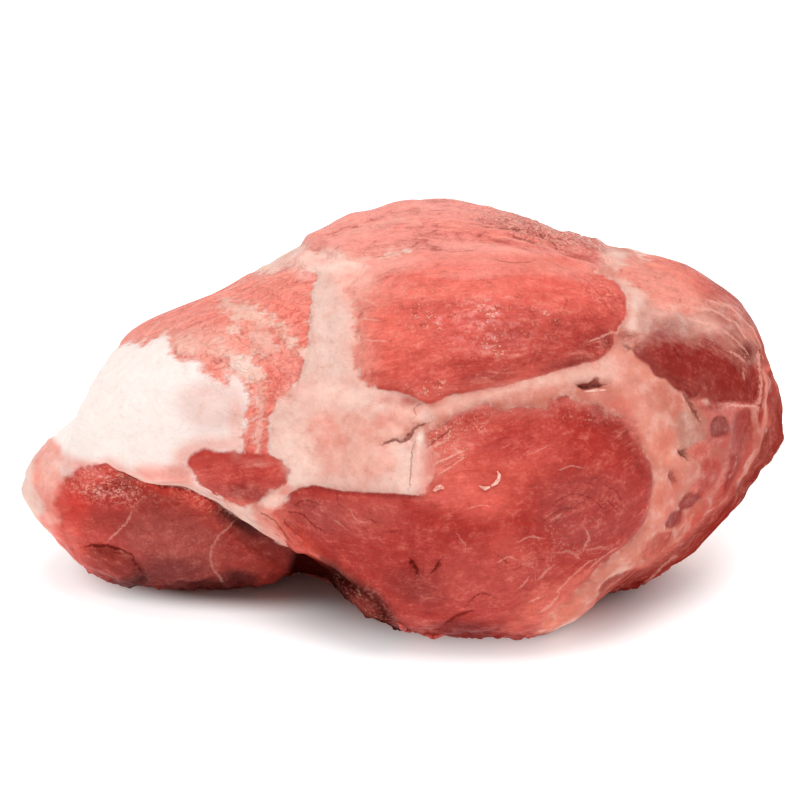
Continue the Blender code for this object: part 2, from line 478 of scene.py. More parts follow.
tint("front", [
    ([(290, 384), (350, 384), (400, 400), (440, 410), (430, 440), (380, 436), (310, 420), (280, 410)],
     (236, 184, 170), 0.6, 5.0),
    ([(300, 425), (380, 440), (400, 470), (350, 486), (300, 470), (284, 440)], (232, 168, 152), 0.6, 7.0),
    ([(392, 404), (430, 410), (432, 432), (398, 440), (384, 424)], (230, 164, 146), 0.7, 5.0),
    ([(310, 418), (350, 414), (392, 430), (388, 446), (340, 444), (306, 438)], (230, 160, 142), 0.6, 3.0),
    ([(312, 424), (330, 420), (344, 434), (346, 458), (332, 474), (314, 466), (304, 444)],
     (226, 150, 134), 0.55, 1.0),
    ([(352, 446), (378, 442), (396, 452), (394, 470), (370, 478), (350, 468)], (234, 168, 152), 0.5, 1.0),
    ([(384, 398), (408, 402), (426, 410), (422, 424), (400, 428), (386, 414)], (232, 166, 150), 0.4, 2.0),
    ([(426, 406), (444, 404), (440, 418), (430, 426), (420, 420)], (244, 206, 192), 0.6, 1.0),
    # Painted shade in the gaps between the folds at the sheet's torn right end.
    ([(406, 428), (414, 436), (412, 452), (404, 446)], (206, 126, 110), 0.6, 1.0),
    ([(276, 436), (300, 430), (318, 450), (320, 476), (296, 484), (284, 460)], (246, 212, 198), 0.7, 4.0),
    ([(330, 384), (364, 388), (400, 398), (390, 408), (350, 406), (322, 400)], (246, 208, 194), 0.6, 3.0),
    ([(408, 440), (426, 434), (438, 452), (436, 476), (424, 494), (404, 494), (396, 470)],
     (240, 200, 186), 0.7, 4.0),
    ([(270, 496), (290, 490), (286, 506), (300, 530), (330, 556), (362, 586), (350, 586), (312, 566),
      (286, 548), (264, 524)], (232, 118, 98), 0.55, 3.0),
])

# Top muscle.
# The long front one of two muscles over the crown ends in a round nose over the seam, and its left end is
# frayed where the fibres were torn from the stem.
TOP_MUSCLE = [
    (286, 236), (298, 245), (312, 250), (330, 255), (352, 259), (372, 255), (392, 250), (412, 248),
    (396, 256), (376, 263), (362, 272), (350, 282), (344, 292), (352, 302), (356, 316), (353, 330),
    (357, 345), (352, 358), (358, 370), (364, 381), (380, 389), (406, 394), (420, 402), (436, 404),
    (446, 396), (476, 391), (508, 385), (540, 376), (573, 366), (597, 360), (611, 350), (616, 333),
    (625, 318), (627, 301), (622, 288), (611, 278), (594, 271), (606, 264), (611, 257), (604, 250),
    (612, 243), (620, 232), (560, 212), (500, 190), (450, 176), (390, 186), (330, 205),
]
lay(
    "front", "lean", TOP_MUSCLE, (226, 96, 82), grain=7, bend=-0.0005, streak=0.5, stretch=0.22, rise=2.4,
    edge=4.5, fray=1.2, blur=0.8,
)
# The third and fourth washes are painted shade along the muscle's lower edge, where it turns down.
tint("front", [
    ([(340, 270), (378, 262), (384, 290), (378, 330), (376, 372), (356, 372), (346, 350), (350, 320),
      (340, 296)], (232, 160, 144), 0.55, 6.0),
    ([(380, 300), (440, 290), (500, 310), (560, 300), (520, 350), (440, 360), (390, 340)],
     (208, 84, 72), 0.5, 9.0),
    ([(470, 376), (540, 350), (590, 318), (622, 300), (616, 330), (606, 352), (560, 366), (500, 384)],
     (164, 52, 44), 0.6, 9.0),
    ([(372, 376), (420, 360), (470, 368), (470, 392), (430, 402), (384, 388)], (190, 70, 60), 0.5, 5.0),
])

# These dabs darken from the top of the muscle to its lower right edge: painted light above and painted shade
# below, over the muscle's own red.
dab("front", [
    ((386, 290), (56, 24), 0, (240, 138, 122), 0.7),
    ((356, 276), (36, 34), 0, (248, 184, 168), 0.85),
    ((460, 290), (100, 20), 0, (238, 116, 100), 0.7),
    ((396, 330), (50, 32), 0, (236, 112, 96), 0.7),
    ((458, 334), (40, 24), 0, (212, 82, 72), 0.5),
    ((516, 330), (52, 30), 0, (206, 78, 66), 0.7),
    ((576, 330), (44, 32), 0, (176, 52, 44), 0.7),
    ((476, 364), (56, 18), 6, (182, 56, 46), 0.8),
    ((536, 358), (44, 14), 12, (176, 56, 46), 0.6),
    ((588, 346), (34, 16), 30, (150, 40, 34), 0.8),
    ((410, 372), (30, 14), 0, (212, 82, 72), 0.4),
    ((530, 338), (80, 34), 4, (172, 58, 50), 0.45),
    ((572, 363), (46, 9), 12, (142, 40, 34), 0.8),
    ((606, 344), (14, 12), 30, (138, 42, 36), 0.8),
    ((486, 378), (42, 10), 8, (158, 50, 42), 0.8),
    ((470, 277), (60, 7), 0, (244, 150, 136), 0.6),
    ((570, 280), (40, 8), -10, (234, 126, 110), 0.6),
])

# Crown muscle.
# The second muscle arches over the crown, paler, in rolls of fibres with creases between. Its far right
# end is crusted with small pale grains.
CROWN_MUSCLE = [
    (284, 230), (300, 243), (318, 250), (340, 254), (366, 254), (400, 250), (440, 254), (500, 256),
    (560, 260), (592, 268), (606, 264), (611, 257), (604, 250), (612, 243), (620, 230), (560, 205),
    (500, 186), (450, 172), (390, 180), (330, 200),
]
lay(
    "front", "lean", CROWN_MUSCLE, (242, 152, 140), grain=-4, bend=-0.0016, streak=0.9, rise=0.5, edge=3,
    fray=1.2, blur=1.4,
)
tint("front", [
    ([(340, 236), (400, 224), (470, 222), (540, 240), (560, 254), (480, 246), (400, 242), (350, 248)],
     (238, 142, 128), 0.6, 4.0),
    ([(340, 262), (400, 254), (480, 258), (560, 266), (596, 274), (540, 276), (450, 270), (380, 274)],
     (242, 158, 144), 0.7, 3.0),
    ([(560, 262), (590, 262), (606, 256), (604, 246), (590, 250), (566, 256)], (206, 84, 70), 0.6, 2.5),
])

dab("front", [
    ((386, 266), (64, 16), 0, (246, 162, 148), 0.85),
    ((330, 258), (40, 12), 0, (244, 186, 172), 0.6),
    ((536, 268), (70, 12), 0, (230, 120, 102), 0.8),
    ((470, 232), (60, 12), -6, (236, 130, 116), 0.5),
    ((452, 268), (60, 12), 0, (240, 124, 110), 0.6),
    ((520, 244), (70, 13), -10, (222, 108, 96), 0.6),
    ((350, 238), (50, 16), 12, (246, 162, 150), 0.5),
    ((300, 262), (32, 14), 0, (248, 196, 182), 0.8),
    ((342, 267), (36, 10), 0, (252, 214, 200), 0.9),
    ((330, 255), (28, 8), -6, (250, 208, 194), 0.7),
])

# Front muscle.
# The large muscle of the cut face. Its left flank hangs over a dark hollow, and the sheet of seam fat
# stops in a torn edge on it.
FRONT_MUSCLE = [
    (280, 514), (284, 500), (295, 490), (316, 486), (338, 491), (377, 493), (423, 494), (430, 482),
    (436, 470), (438, 458), (431, 446), (427, 434), (445, 423), (459, 412), (486, 402), (498, 411),
    (522, 407), (546, 409), (554, 400), (568, 396), (579, 401), (595, 404), (606, 413), (626, 417),
    (634, 431), (640, 446), (649, 459), (655, 478), (653, 502), (646, 526), (629, 545), (610, 560),
    (593, 577), (571, 598), (552, 616), (538, 640), (500, 660), (430, 658), (396, 630), (360, 600),
    (320, 574), (296, 556), (288, 540),
]
lay(
    "front", "lean", FRONT_MUSCLE, (175, 47, 38), grain=12, bend=0.0034, streak=0.34, stretch=0.26, rise=1.6,
    edge=4, fray=0.7, blur=0.8,
)
# The second wash is painted shade in the upper right corner, where the muscle turns in under the fat; the
# eighth is the bright rim over the hollow, partly painted highlight; the last is painted shade along the
# table, over the muscle's dark red.
tint("front", [
    ([(430, 440), (480, 420), (540, 420), (560, 450), (520, 490), (460, 500), (430, 490)],
     (216, 88, 74), 0.7, 9.0),
    ([(590, 404), (626, 418), (644, 450), (650, 484), (630, 470), (608, 440), (590, 424)],
     (152, 42, 34), 0.75, 5.0),
    ([(540, 480), (600, 470), (640, 490), (630, 530), (580, 550), (540, 520)], (170, 74, 68), 0.55, 8.0),
    ([(288, 502), (330, 494), (400, 500), (390, 530), (330, 530), (296, 520)], (194, 84, 74), 0.65, 6.0),
    ([(426, 444), (450, 426), (470, 440), (456, 470), (436, 490), (424, 480)], (224, 120, 104), 0.35, 5.0),
    ([(430, 560), (500, 550), (560, 560), (540, 600), (480, 610), (430, 590)], (200, 84, 74), 0.5, 8.0),
    ([(520, 604), (560, 580), (590, 570), (566, 604), (540, 624), (508, 630)], (226, 110, 92), 0.6, 4.0),
    ([(282, 518), (300, 536), (322, 553), (342, 566), (364, 583), (384, 604), (400, 622), (392, 624),
      (368, 596), (340, 576), (310, 556), (284, 532)], (232, 104, 82), 0.7, 1.6),
    ([(400, 622), (440, 634), (500, 636), (540, 624), (548, 650), (400, 660)], (150, 40, 34), 0.5, 4.0),
])

# The first two dabs are a pool of painted light in the middle of the muscle, and the dark ones by the hollow
# and along the table are painted shade.
dab("front", [
    ((458, 492), (56, 26), 6, (222, 98, 86), 0.8),
    ((490, 504), (40, 24), 10, (224, 96, 82), 0.8),
    ((320, 514), (44, 24), -30, (160, 58, 52), 0.5),
    ((516, 440), (50, 26), 4, (178, 50, 44), 0.8),
    ((508, 546), (28, 30), 20, (206, 80, 68), 0.8),
    ((416, 586), (44, 26), -20, (136, 32, 26), 0.7),
    ((410, 526), (30, 20), 0, (182, 58, 52), 0.5),
    ((464, 628), (60, 14), 0, (104, 20, 16), 0.7),
    ((600, 508), (40, 20), 20, (176, 54, 48), 0.4),
    ((514, 614), (30, 9), 10, (176, 62, 52), 0.6),
])

# Hollow under the front muscle.
# The flank behind the rim of the front muscle is deep red and wet and lies in shadow; most of its dark is
# painted shade in the colour, in the patch and its dabs alike.
HOLLOW = [
    (296, 554), (303, 551), (312, 552), (323, 558), (335, 563), (346, 571), (355, 577), (366, 584),
    (377, 592), (386, 601), (392, 611), (398, 621), (408, 632), (400, 650), (350, 630), (310, 600),
    (290, 590), (290, 572),
]
# Painted shade: the near-black colour of the hollow.
lay("front", "lean", HOLLOW, (44, 6, 4), grain=-30, streak=0.2, stretch=0.3, rise=-0.6, edge=2, fray=0.5)
dab("front", [
    ((352, 590), (18, 12), -40, (70, 14, 14), 0.7),
    ((370, 600), (26, 13), -40, (132, 50, 44), 0.8),
    ((392, 618), (14, 10), -40, (92, 20, 16), 0.8),
    ((314, 554), (30, 11), -36, (100, 26, 20), 0.8),
])

# Rump seam.
# Fat fills the wide seam between front muscle and rump, and goes over into a web of fat with small lean
# islands in it, down to the table.
SEAM = [
    (436, 402), (460, 396), (500, 388), (540, 378), (575, 367), (600, 360), (612, 350), (618, 332),
    (626, 318), (630, 300), (624, 286), (612, 277), (598, 270), (612, 258), (606, 250), (618, 246),
    (640, 262), (652, 300), (640, 330), (640, 350), (652, 366), (672, 384), (694, 400), (706, 392),
    (716, 404), (738, 404), (732, 440), (716, 470), (700, 500), (676, 536), (646, 560), (612, 574),
    (590, 604), (566, 622), (540, 634), (548, 616), (571, 598), (593, 577), (610, 560), (629, 545),
    (646, 526), (653, 502), (655, 478), (649, 459), (640, 446), (634, 431), (626, 417), (606, 413),
    (595, 404), (579, 401), (568, 396), (554, 400), (546, 409), (522, 407), (498, 411), (486, 402),
    (459, 412), (446, 423), (428, 432), (424, 420),
]
WEB = [
    (636, 350), (690, 330), (744, 316), (804, 350), (808, 480), (760, 530), (700, 580), (600, 620),
    (580, 612), (650, 556), (694, 500), (716, 440), (700, 396), (660, 376),
]
lay("front", "fat", WEB, (194, 98, 86), rise=0.0, edge=3, fray=1.0, blur=1.2)
lay("front", "fat", SEAM, (202, 122, 104), rise=0.5, edge=2.4, fray=0.8, blur=0.8)
tint("front", [
    ([(430, 408), (480, 392), (540, 378), (600, 362), (616, 352), (610, 380), (560, 386), (500, 398),
      (450, 414)], (240, 190, 174), 0.75, 3.0),
    ([(612, 250), (636, 262), (650, 300), (640, 330), (626, 330), (630, 300), (616, 276)],
     (238, 200, 186), 0.8, 2.0),
    ([(610, 356), (640, 352), (668, 386), (664, 420), (650, 450), (636, 430), (620, 400)],
     (226, 150, 132), 0.7, 4.0),
    ([(606, 404), (622, 398), (636, 420), (646, 446), (634, 440), (622, 420)], (212, 112, 98), 0.6, 2.0),
    ([(650, 420), (676, 424), (680, 448), (668, 470), (652, 462)], (222, 138, 116), 0.7, 4.0),
    ([(676, 420), (688, 410), (701, 416), (706, 436), (694, 452), (680, 448)], (188, 136, 120), 0.75, 2.0),
    ([(680, 458), (700, 456), (704, 470), (692, 486), (676, 490), (668, 476)], (214, 130, 112), 0.6, 3.0),
    ([(656, 470), (668, 486), (662, 530), (640, 556), (604, 574), (572, 604), (600, 570), (644, 528)],
     (218, 140, 122), 0.7, 2.0),
    ([(552, 612), (572, 600), (588, 596), (570, 616), (548, 630), (536, 630)], (226, 122, 98), 0.7, 2.0),
])
lay(
    "front", "lean", [(268, 514), (281, 507), (288, 518), (302, 536), (320, 554), (306, 551), (288, 538),
     (274, 525)], (206, 76, 60), grain=-40, rise=0.3, edge=2, fray=0.8,
)
tint("front", [
    ([(250, 506), (264, 504), (280, 502), (272, 514), (280, 524), (262, 522)], (226, 134, 116), 0.7, 1.2),
    ([(262, 500), (276, 494), (290, 496), (282, 504), (266, 505)], (248, 212, 198), 0.8, 1.0),
])
SEAM_PITS = [
    ([(578, 383), (588, 382), (596, 378), (603, 383), (606, 386), (594, 388), (584, 389)],
     (140, 58, 48), -1.0),
    ([(621, 336), (626, 330), (632, 334), (628, 340)], (150, 76, 64), -0.5),
    ([(622, 346), (628, 343), (631, 348), (626, 351)], (130, 60, 50), -0.6),
    ([(632, 336), (639, 334), (641, 339), (635, 342)], (150, 76, 64), -0.4),
    ([(679, 452), (686, 449), (690, 454), (684, 458)], (124, 66, 54), -0.8),
    ([(669, 474), (672, 471), (678, 482), (674, 484), (670, 480)], (150, 50, 42), -0.8),
]
for outline, tone, sink in SEAM_PITS:
    lay("front", "lean", outline, tone, rise=sink, edge=1.5, fray=0.6, blur=0.7, reach=0.8)

# Rump.
# The round end is the outer muscle of the leg: pale and smooth above, a dark lean window under a grey
# veil, and red strips between streaks of fat towards the edge.
RUMP_TOP = [
    (617, 270), (630, 258), (646, 254), (650, 240), (700, 248), (745, 276), (774, 320), (792, 372),
    (772, 378), (762, 350), (748, 330), (733, 318), (721, 309), (703, 311), (683, 309), (666, 309),
    (653, 300), (639, 289), (624, 281),
]
RUMP_VEIL = [
    (640, 330), (646, 300), (672, 306), (704, 308), (724, 308), (740, 322), (756, 340), (762, 366),
    (752, 366), (730, 350), (706, 338), (692, 344), (674, 337), (656, 335),
]
RUMP_WINDOW = [
    (634, 348), (641, 340), (652, 331), (664, 327), (677, 332), (690, 338), (703, 332), (719, 337),
    (731, 346), (744, 354), (758, 368), (758, 401), (738, 402), (718, 403), (708, 400), (700, 399),
    (692, 400), (682, 394), (672, 387), (666, 379), (657, 377), (648, 364), (638, 357),
]
lay("front", "fat", RUMP_VEIL, (204, 146, 132), rise=0.2, edge=3, fray=1.4, blur=3.0)
lay(
    "front", "lean", RUMP_TOP, (224, 108, 90), grain=-32, streak=0.35, rise=0.5, edge=3, fray=2.2, blur=4.0,
    crinkle=0.4,
)
# The second wash is painted shade along the right shoulder, where it turns away from the light.
tint("front", [
    ([(620, 268), (650, 260), (680, 276), (720, 300), (700, 308), (660, 300), (636, 284)],
     (236, 152, 136), 0.75, 6.0),
    ([(694, 262), (740, 286), (762, 330), (744, 320), (716, 290)], (206, 92, 78), 0.5, 5.0),
    ([(644, 324), (664, 318), (690, 324), (694, 338), (676, 336), (656, 334)], (168, 108, 96), 0.6, 2.0),
    ([(696, 318), (710, 314), (726, 326), (732, 342), (716, 338), (700, 332)], (218, 152, 138), 0.7, 2.0),
    ([(722, 318), (744, 328), (758, 348), (758, 368), (744, 356), (728, 346)], (172, 94, 84), 0.5, 4.0),
])
lay(
    "front", "lean", RUMP_WINDOW, (142, 38, 34), grain=-36, streak=0.1, rise=-0.5, edge=2, fray=0.5,
    blur=0.9,
)
RUMP_PATCHES = [
    ("lean", (150, 46, 38), 78, 0.6, [(771, 372), (778, 386), (774, 404), (772, 424), (768, 440), (762, 458),
     (752, 476), (746, 486), (770, 500), (806, 450), (806, 400), (792, 360)]),
    ("lean", (154, 46, 38), 38, 0.6, [(604, 587), (612, 578), (624, 573), (637, 571), (650, 567), (663, 560),
     (676, 549), (690, 535), (706, 519), (722, 505), (738, 493), (745, 484), (760, 470), (790, 450),
     (770, 520), (700, 590), (640, 620), (600, 612)]),
    ("lean", (186, 82, 70), -60, 0.6, [(747, 317), (756, 330), (764, 347), (768, 362), (778, 368),
     (786, 350), (770, 318), (752, 300)]),
    ("fat", (202, 104, 94), 0, 0.4, [(696, 399), (708, 402), (738, 404), (758, 403), (758, 408), (745, 409),
     (737, 415), (733, 430), (735, 440), (726, 449), (716, 446), (708, 440), (706, 430), (709, 418),
     (702, 411)]),
    ("fat", (190, 98, 86), 0, 0.4, [(700, 399), (703, 391), (706, 382), (709, 390), (707, 400)]),
    ("lean", (150, 62, 54), 80, 0.3, [(710, 429), (713, 419), (721, 415), (727, 420), (730, 431), (722, 434),
     (716, 438), (711, 436)]),
    ("lean", (172, 58, 48), 72, 0.7, [(733, 418), (741, 411), (751, 409), (753, 424), (752, 440), (748, 456),
     (742, 470), (736, 486), (725, 499), (714, 503), (712, 496), (722, 480), (728, 462), (732, 440)]),
    ("lean", (200, 84, 74), 66, 0.7, [(748, 438), (753, 446), (751, 460), (746, 474), (738, 487), (734, 489),
     (738, 474), (743, 458)]),
    ("fat", (208, 138, 124), 0, 0.5, [(752, 408), (758, 408), (760, 426), (759, 446), (755, 461), (748, 477),
     (742, 489), (737, 493), (744, 474), (751, 456), (754, 436)]),
    ("fat", (214, 108, 96), 0, 0.5, [(734, 457), (737, 464), (732, 479), (724, 493), (720, 495),
     (727, 478)]),
    ("lean", (208, 98, 82), 60, 0.6, [(690, 447), (700, 440), (710, 444), (713, 455), (704, 461), (694, 459),
     (687, 453)]),
    ("lean", (196, 80, 68), 56, 1.0, [(702, 463), (712, 458), (724, 462), (722, 479), (711, 494), (700, 499),
     (695, 489), (703, 475)]),
    ("fat", (222, 122, 108), 0, 0.5, [(706, 461), (710, 469), (703, 484), (695, 495), (692, 490),
     (700, 477)]),
    ("fat", (218, 116, 102), 0, 0.5, [(716, 457), (720, 465), (712, 482), (707, 488), (710, 474)]),
    ("lean", (174, 62, 52), 40, 0.4, [(680, 508), (683, 498), (692, 494), (700, 496), (697, 503),
     (688, 509)]),
    ("lean", (162, 58, 48), 40, 0.3, [(669, 518), (674, 512), (682, 511), (678, 519)]),
    ("lean", (162, 58, 48), 40, 0.3, [(666, 528), (667, 521), (676, 519), (676, 525)]),
    ("lean", (190, 84, 70), 40, 0.4, [(656, 540), (660, 533), (673, 532), (670, 540)]),
    ("lean", (182, 84, 70), 50, 0.6, [(644, 558), (649, 541), (656, 539), (657, 551), (665, 558),
     (654, 562)]),
    ("fat", (216, 134, 120), 0, 0.5, [(763, 364), (768, 376), (771, 396), (771, 416), (767, 433), (763, 448),
     (759, 455), (761, 436), (765, 416), (765, 396), (761, 378)]),
    ("lean", (172, 64, 54), 86, 0.3, [(759, 350), (763, 372), (764, 396), (762, 424), (759, 424), (760, 396),
     (757, 370)]),
    ("fat", (232, 160, 146), 0, 0.3, [(679, 392), (686, 391), (690, 398), (684, 400)]),
    ("fat", (240, 178, 162), 0, 0.6, [(703, 400), (708, 399), (709, 403), (705, 405)]),
]
for kind, tone, lie, fray, outline in RUMP_PATCHES:
    lay(
        "front", kind, outline, tone, grain=lie, streak=0.3, rise=0.2, edge=1.5, fray=fray * 1.3, blur=0.8,
        reach=1.0,
    )
tint("front", [
    ([(766, 432), (792, 430), (786, 450), (764, 476), (748, 490), (756, 470)], (120, 30, 24), 0.7, 2.5),
    ([(684, 538), (692, 524), (708, 512), (726, 500), (740, 490), (740, 496), (716, 518), (694, 540)],
     (190, 72, 62), 0.6, 1.5),
    ([(604, 588), (614, 578), (630, 575), (640, 582), (628, 592), (612, 594)], (136, 62, 50), 0.6, 2.0),
    ([(740, 482), (748, 482), (748, 492), (742, 500), (738, 498)], (206, 140, 126), 0.6, 0.8),
])

# Most of these dabs darken the rump towards its right outline: painted shade where it turns away from the
# light.
dab("front", [
    ((712, 286), (26, 24), -50, (200, 90, 78), 0.7),
    ((724, 294), (34, 12), -52, (186, 84, 74), 0.8),
    ((746, 320), (28, 11), -62, (164, 78, 68), 0.8),
    ((730, 338), (16, 16), 0, (160, 80, 70), 0.7),
    ((747, 352), (10, 18), -20, (132, 56, 50), 0.6),
    ((762, 354), (24, 8), -74, (160, 68, 60), 0.7),
    ((773, 394), (26, 7), -86, (148, 52, 46), 0.7),
    ((755, 432), (7, 30), 0, (184, 82, 70), 0.7),
    ((734, 478), (10, 16), -30, (200, 82, 70), 0.5),
])
# Last tones over seams and edges: thin fat lets the lean show through, and thick fat is white. The dark
# dabs along the rump's foot and right edge are painted shade.
dab("front", [
    ((662, 398), (26, 24), 0, (194, 112, 94), 0.6),
    ((673, 458), (16, 16), 0, (230, 148, 126), 0.7),
    ((688, 520), (20, 16), 30, (200, 86, 72), 0.6),
    ((648, 550), (14, 14), 0, (202, 96, 80), 0.5),
    ((630, 582), (34, 14), 16, (142, 42, 36), 0.8),
    ((690, 548), (44, 14), 42, (138, 40, 34), 0.8),
    ((740, 496), (20, 12), 50, (130, 36, 30), 0.7),
    ((722, 486), (20, 34), -30, (186, 74, 64), 0.5),
    ((662, 440), (20, 24), 0, (226, 134, 114), 0.6),
    ((700, 430), (14, 20), 0, (190, 110, 96), 0.6),
    ((656, 506), (12, 34), -16, (214, 118, 98), 0.6),
    ((624, 350), (12, 24), 0, (226, 158, 142), 0.7),
    ((596, 396), (34, 12), 10, (220, 142, 126), 0.6),
    ((536, 393), (44, 10), 10, (230, 156, 140), 0.7),
    ((456, 408), (30, 8), 14, (232, 162, 146), 0.5),
    ((398, 401), (36, 9), -8, (214, 140, 126), 0.8),
    ((424, 417), (14, 9), 10, (246, 208, 194), 0.8),
    ((382, 422), (14, 14), 0, (214, 136, 120), 0.7),
    ((410, 401), (16, 6), -8, (178, 88, 74), 0.7),
    ((287, 489), (10, 8), 0, (206, 104, 90), 0.6),
    ((608, 258), (13, 15), 0, (246, 196, 180), 0.8),
    ((618, 372), (12, 24), 0, (240, 178, 164), 0.5),
    ((664, 308), (20, 12), 0, (244, 186, 170), 0.5),
    ((588, 602), (16, 10), 20, (206, 124, 108), 0.6),
    ((722, 311), (34, 17), -26, (166, 80, 66), 0.75),
    ((744, 356), (17, 20), 0, (100, 30, 24), 0.8),
    ((712, 405), (16, 9), 0, (146, 54, 44), 0.8),
    ((670, 500), (12, 44), -16, (222, 112, 92), 0.5),
    ((420, 438), (5, 12), -10, (250, 226, 214), 0.8),
    ((428, 441), (4, 10), 0, (196, 96, 84), 0.5),
    ((354, 268), (24, 8), 0, (250, 200, 186), 0.8),
    ((705, 470), (20, 26), 20, (196, 88, 76), 0.4),
    ((726, 450), (34, 40), -20, (176, 74, 64), 0.4),
])
RUMP_EDGE = [
    (772, 372), (780, 386), (777, 404), (774, 424), (770, 440), (764, 458), (754, 476), (746, 487),
    (770, 500), (806, 450), (806, 400), (792, 360),
]
RUMP_FOOT = [
    (604, 589), (614, 580), (626, 575), (638, 573), (652, 569), (664, 562), (677, 551), (691, 537),
    (707, 521), (723, 507), (739, 495), (747, 487), (770, 480), (790, 450), (790, 520), (700, 600),
    (640, 620), (600, 612),
]
# The rump's edge and foot are washed darker towards the outline and the table, partly painted shade over the
# lean's own dark red.
tint("front", [
    (RUMP_WINDOW, (140, 46, 40), 0.75, 1.2),
    (RUMP_EDGE, (142, 42, 36), 0.85, 1.2),
    (RUMP_FOOT, (138, 40, 34), 0.8, 1.6),
    ([(733, 420), (741, 412), (751, 410), (753, 426), (750, 446), (742, 470), (734, 486), (724, 496),
      (728, 466)], (152, 44, 38), 0.85, 1.0),
    ([(710, 428), (714, 419), (722, 416), (727, 421), (729, 431), (718, 437)], (138, 50, 44), 0.8, 0.8),
    ([(704, 464), (714, 460), (721, 464), (719, 478), (710, 491), (700, 496), (698, 486)],
     (180, 62, 52), 0.8, 1.0),
    ([(681, 507), (684, 497), (692, 493), (700, 495), (697, 503), (689, 509)], (146, 42, 36), 0.85, 0.6),
    ([(668, 518), (673, 512), (682, 511), (680, 520), (676, 526), (667, 527)], (148, 44, 38), 0.85, 0.6),
    ([(652, 548), (656, 538), (664, 534), (674, 533), (668, 545), (658, 556)], (172, 66, 56), 0.6, 0.8),
    # Painted shade: a dark band along the right shoulder's outline.
    ([(680, 262), (700, 272), (716, 284), (740, 308), (755, 336), (764, 362), (800, 362), (780, 300),
      (740, 262), (700, 246)], (150, 62, 54), 0.7, 1.6),
])


# Cut and torn edges.
# Where fat was cut clean its edge is crisp, and where a sheet was pulled off it is feathered.
EDGES = [
    ([(294, 489), (338, 491), (380, 494), (424, 495)], 0.2, 0.5),
    ([(424, 495), (432, 480), (438, 460), (430, 440)], 0.7, 0.7),
    ([(380, 389), (406, 394), (436, 404), (476, 391), (540, 376), (597, 360), (612, 350)], 0.25, 0.5),
    ([(612, 350), (618, 332), (627, 301), (611, 278), (594, 271)], 0.4, 0.7),
    ([(641, 340), (657, 329), (677, 332), (692, 338), (703, 332), (719, 337), (731, 346), (749, 358)],
     1.2, 2.4),
    ([(352, 300), (356, 330), (352, 358), (364, 381)], 2.0, 1.6),
    ([(626, 417), (640, 446), (655, 478), (653, 502), (629, 545), (571, 598)], 0.6, 1.2),
    ([(104, 465), (134, 481), (190, 491), (226, 513), (276, 546), (300, 556)], 0.3, 0.5),
    ([(486, 402), (522, 407), (546, 409), (568, 396), (595, 404)], 0.8, 0.9),
    ([(174, 340), (182, 360), (200, 362), (204, 374), (226, 384)], 1.0, 2.2),
]
for points, fray, blur in EDGES:
    curve = curve_through(on_side("front", points), closed=False)
    distance, hand = near_line(sides["front"], curve, closed=False)
    close = np.exp(-((distance / 4.0) ** 2))
    for key, value in (("fray", fray), ("blur", blur)):
        layers["front"][key] = layers["front"][key] * (1 - close) + value * close


# Back and ends.
# The far side keeps most of its fat cover, with a few muscles bare where it was trimmed off. The lean of
# the front runs over the crown and round both ends, and stops in ragged edges.
BACK_CROWN = [
    (-92, 60), (-80, 82), (0, 90), (60, 84), (62, 50), (52, 38), (40, 44), (26, 32), (10, 38), (-4, 28),
    (-22, 36), (-36, 26), (-52, 34), (-66, 22), (-80, 30), (-88, 44),
]
BACK_SHANK = [
    (60, 44), (58, 70), (112, 66), (150, 50), (168, 20), (160, 2), (150, 10), (142, -6), (128, 4),
    (118, -10), (104, 6), (92, 0), (80, 16), (70, 20),
]
BACK_RUMP = [
    (-90, 46), (-96, 70), (-140, 62), (-172, 20), (-172, -40), (-158, -48), (-150, -20), (-140, -30),
    (-132, -4), (-120, 4), (-112, 22), (-100, 26),
]
BACK_WINDOW = [
    (-84, -6), (-70, 6), (-48, 12), (-24, 8), (0, 14), (24, 8), (44, 12), (60, 0), (66, -18), (54, -34),
    (36, -42), (14, -38), (-8, -46), (-32, -42), (-54, -46), (-72, -34), (-86, -22),
]
BACK_LOW = [
    (-140, -66), (-120, -58), (-100, -66), (-76, -60), (-50, -68), (-24, -62), (0, -70), (30, -60),
    (56, -68), (80, -56), (104, -62), (130, -50), (150, -56), (150, -90), (60, -120), (-60, -120),
    (-140, -100),
]
BACK_FLANK = [
    (78, -20), (92, -14), (108, -20), (124, -16), (136, -26), (128, -38), (110, -36), (94, -42), (80, -36),
]
lay(
    "back", "lean", BACK_CROWN, (212, 102, 88), grain=-8, bend=0.001, streak=0.9, rise=0.8, edge=4, fray=2.2,
    blur=2.6,
)
lay("back", "lean", BACK_SHANK, (220, 114, 98), grain=-24, streak=0.7, rise=0.5, edge=4, fray=2.2, blur=2.6)
lay("back", "lean", BACK_RUMP, (206, 98, 84), grain=40, streak=0.7, rise=0.5, edge=4, fray=2.2, blur=2.6)
lay(
    "back", "lean", BACK_WINDOW, (194, 80, 70), grain=14, bend=-0.001, streak=0.8, rise=1.2, edge=5,
    fray=1.6, blur=2.6,
)
lay("back", "lean", BACK_LOW, (182, 68, 58), grain=4, streak=0.6, rise=0.3, edge=4, fray=2.0, blur=2.6)
lay("back", "lean", BACK_FLANK, (196, 82, 72), grain=-12, streak=0.7, rise=0.6, edge=3, fray=1.4, blur=2.6)
dab("back", [
    ((-70, 12), (60, 34), 0, (238, 176, 160), 0.6),
    ((80, 8), (70, 30), 0, (240, 182, 166), 0.5),
    ((0, -52), (150, 16), 0, (228, 152, 136), 0.5),
    ((110, -42), (60, 22), 0, (232, 160, 146), 0.5),
    ((-120, -34), (50, 30), 30, (230, 156, 140), 0.6),
    ((-20, -16), (50, 22), 10, (166, 52, 46), 0.5),
    ((20, 60), (60, 20), 0, (226, 120, 104), 0.5),
])

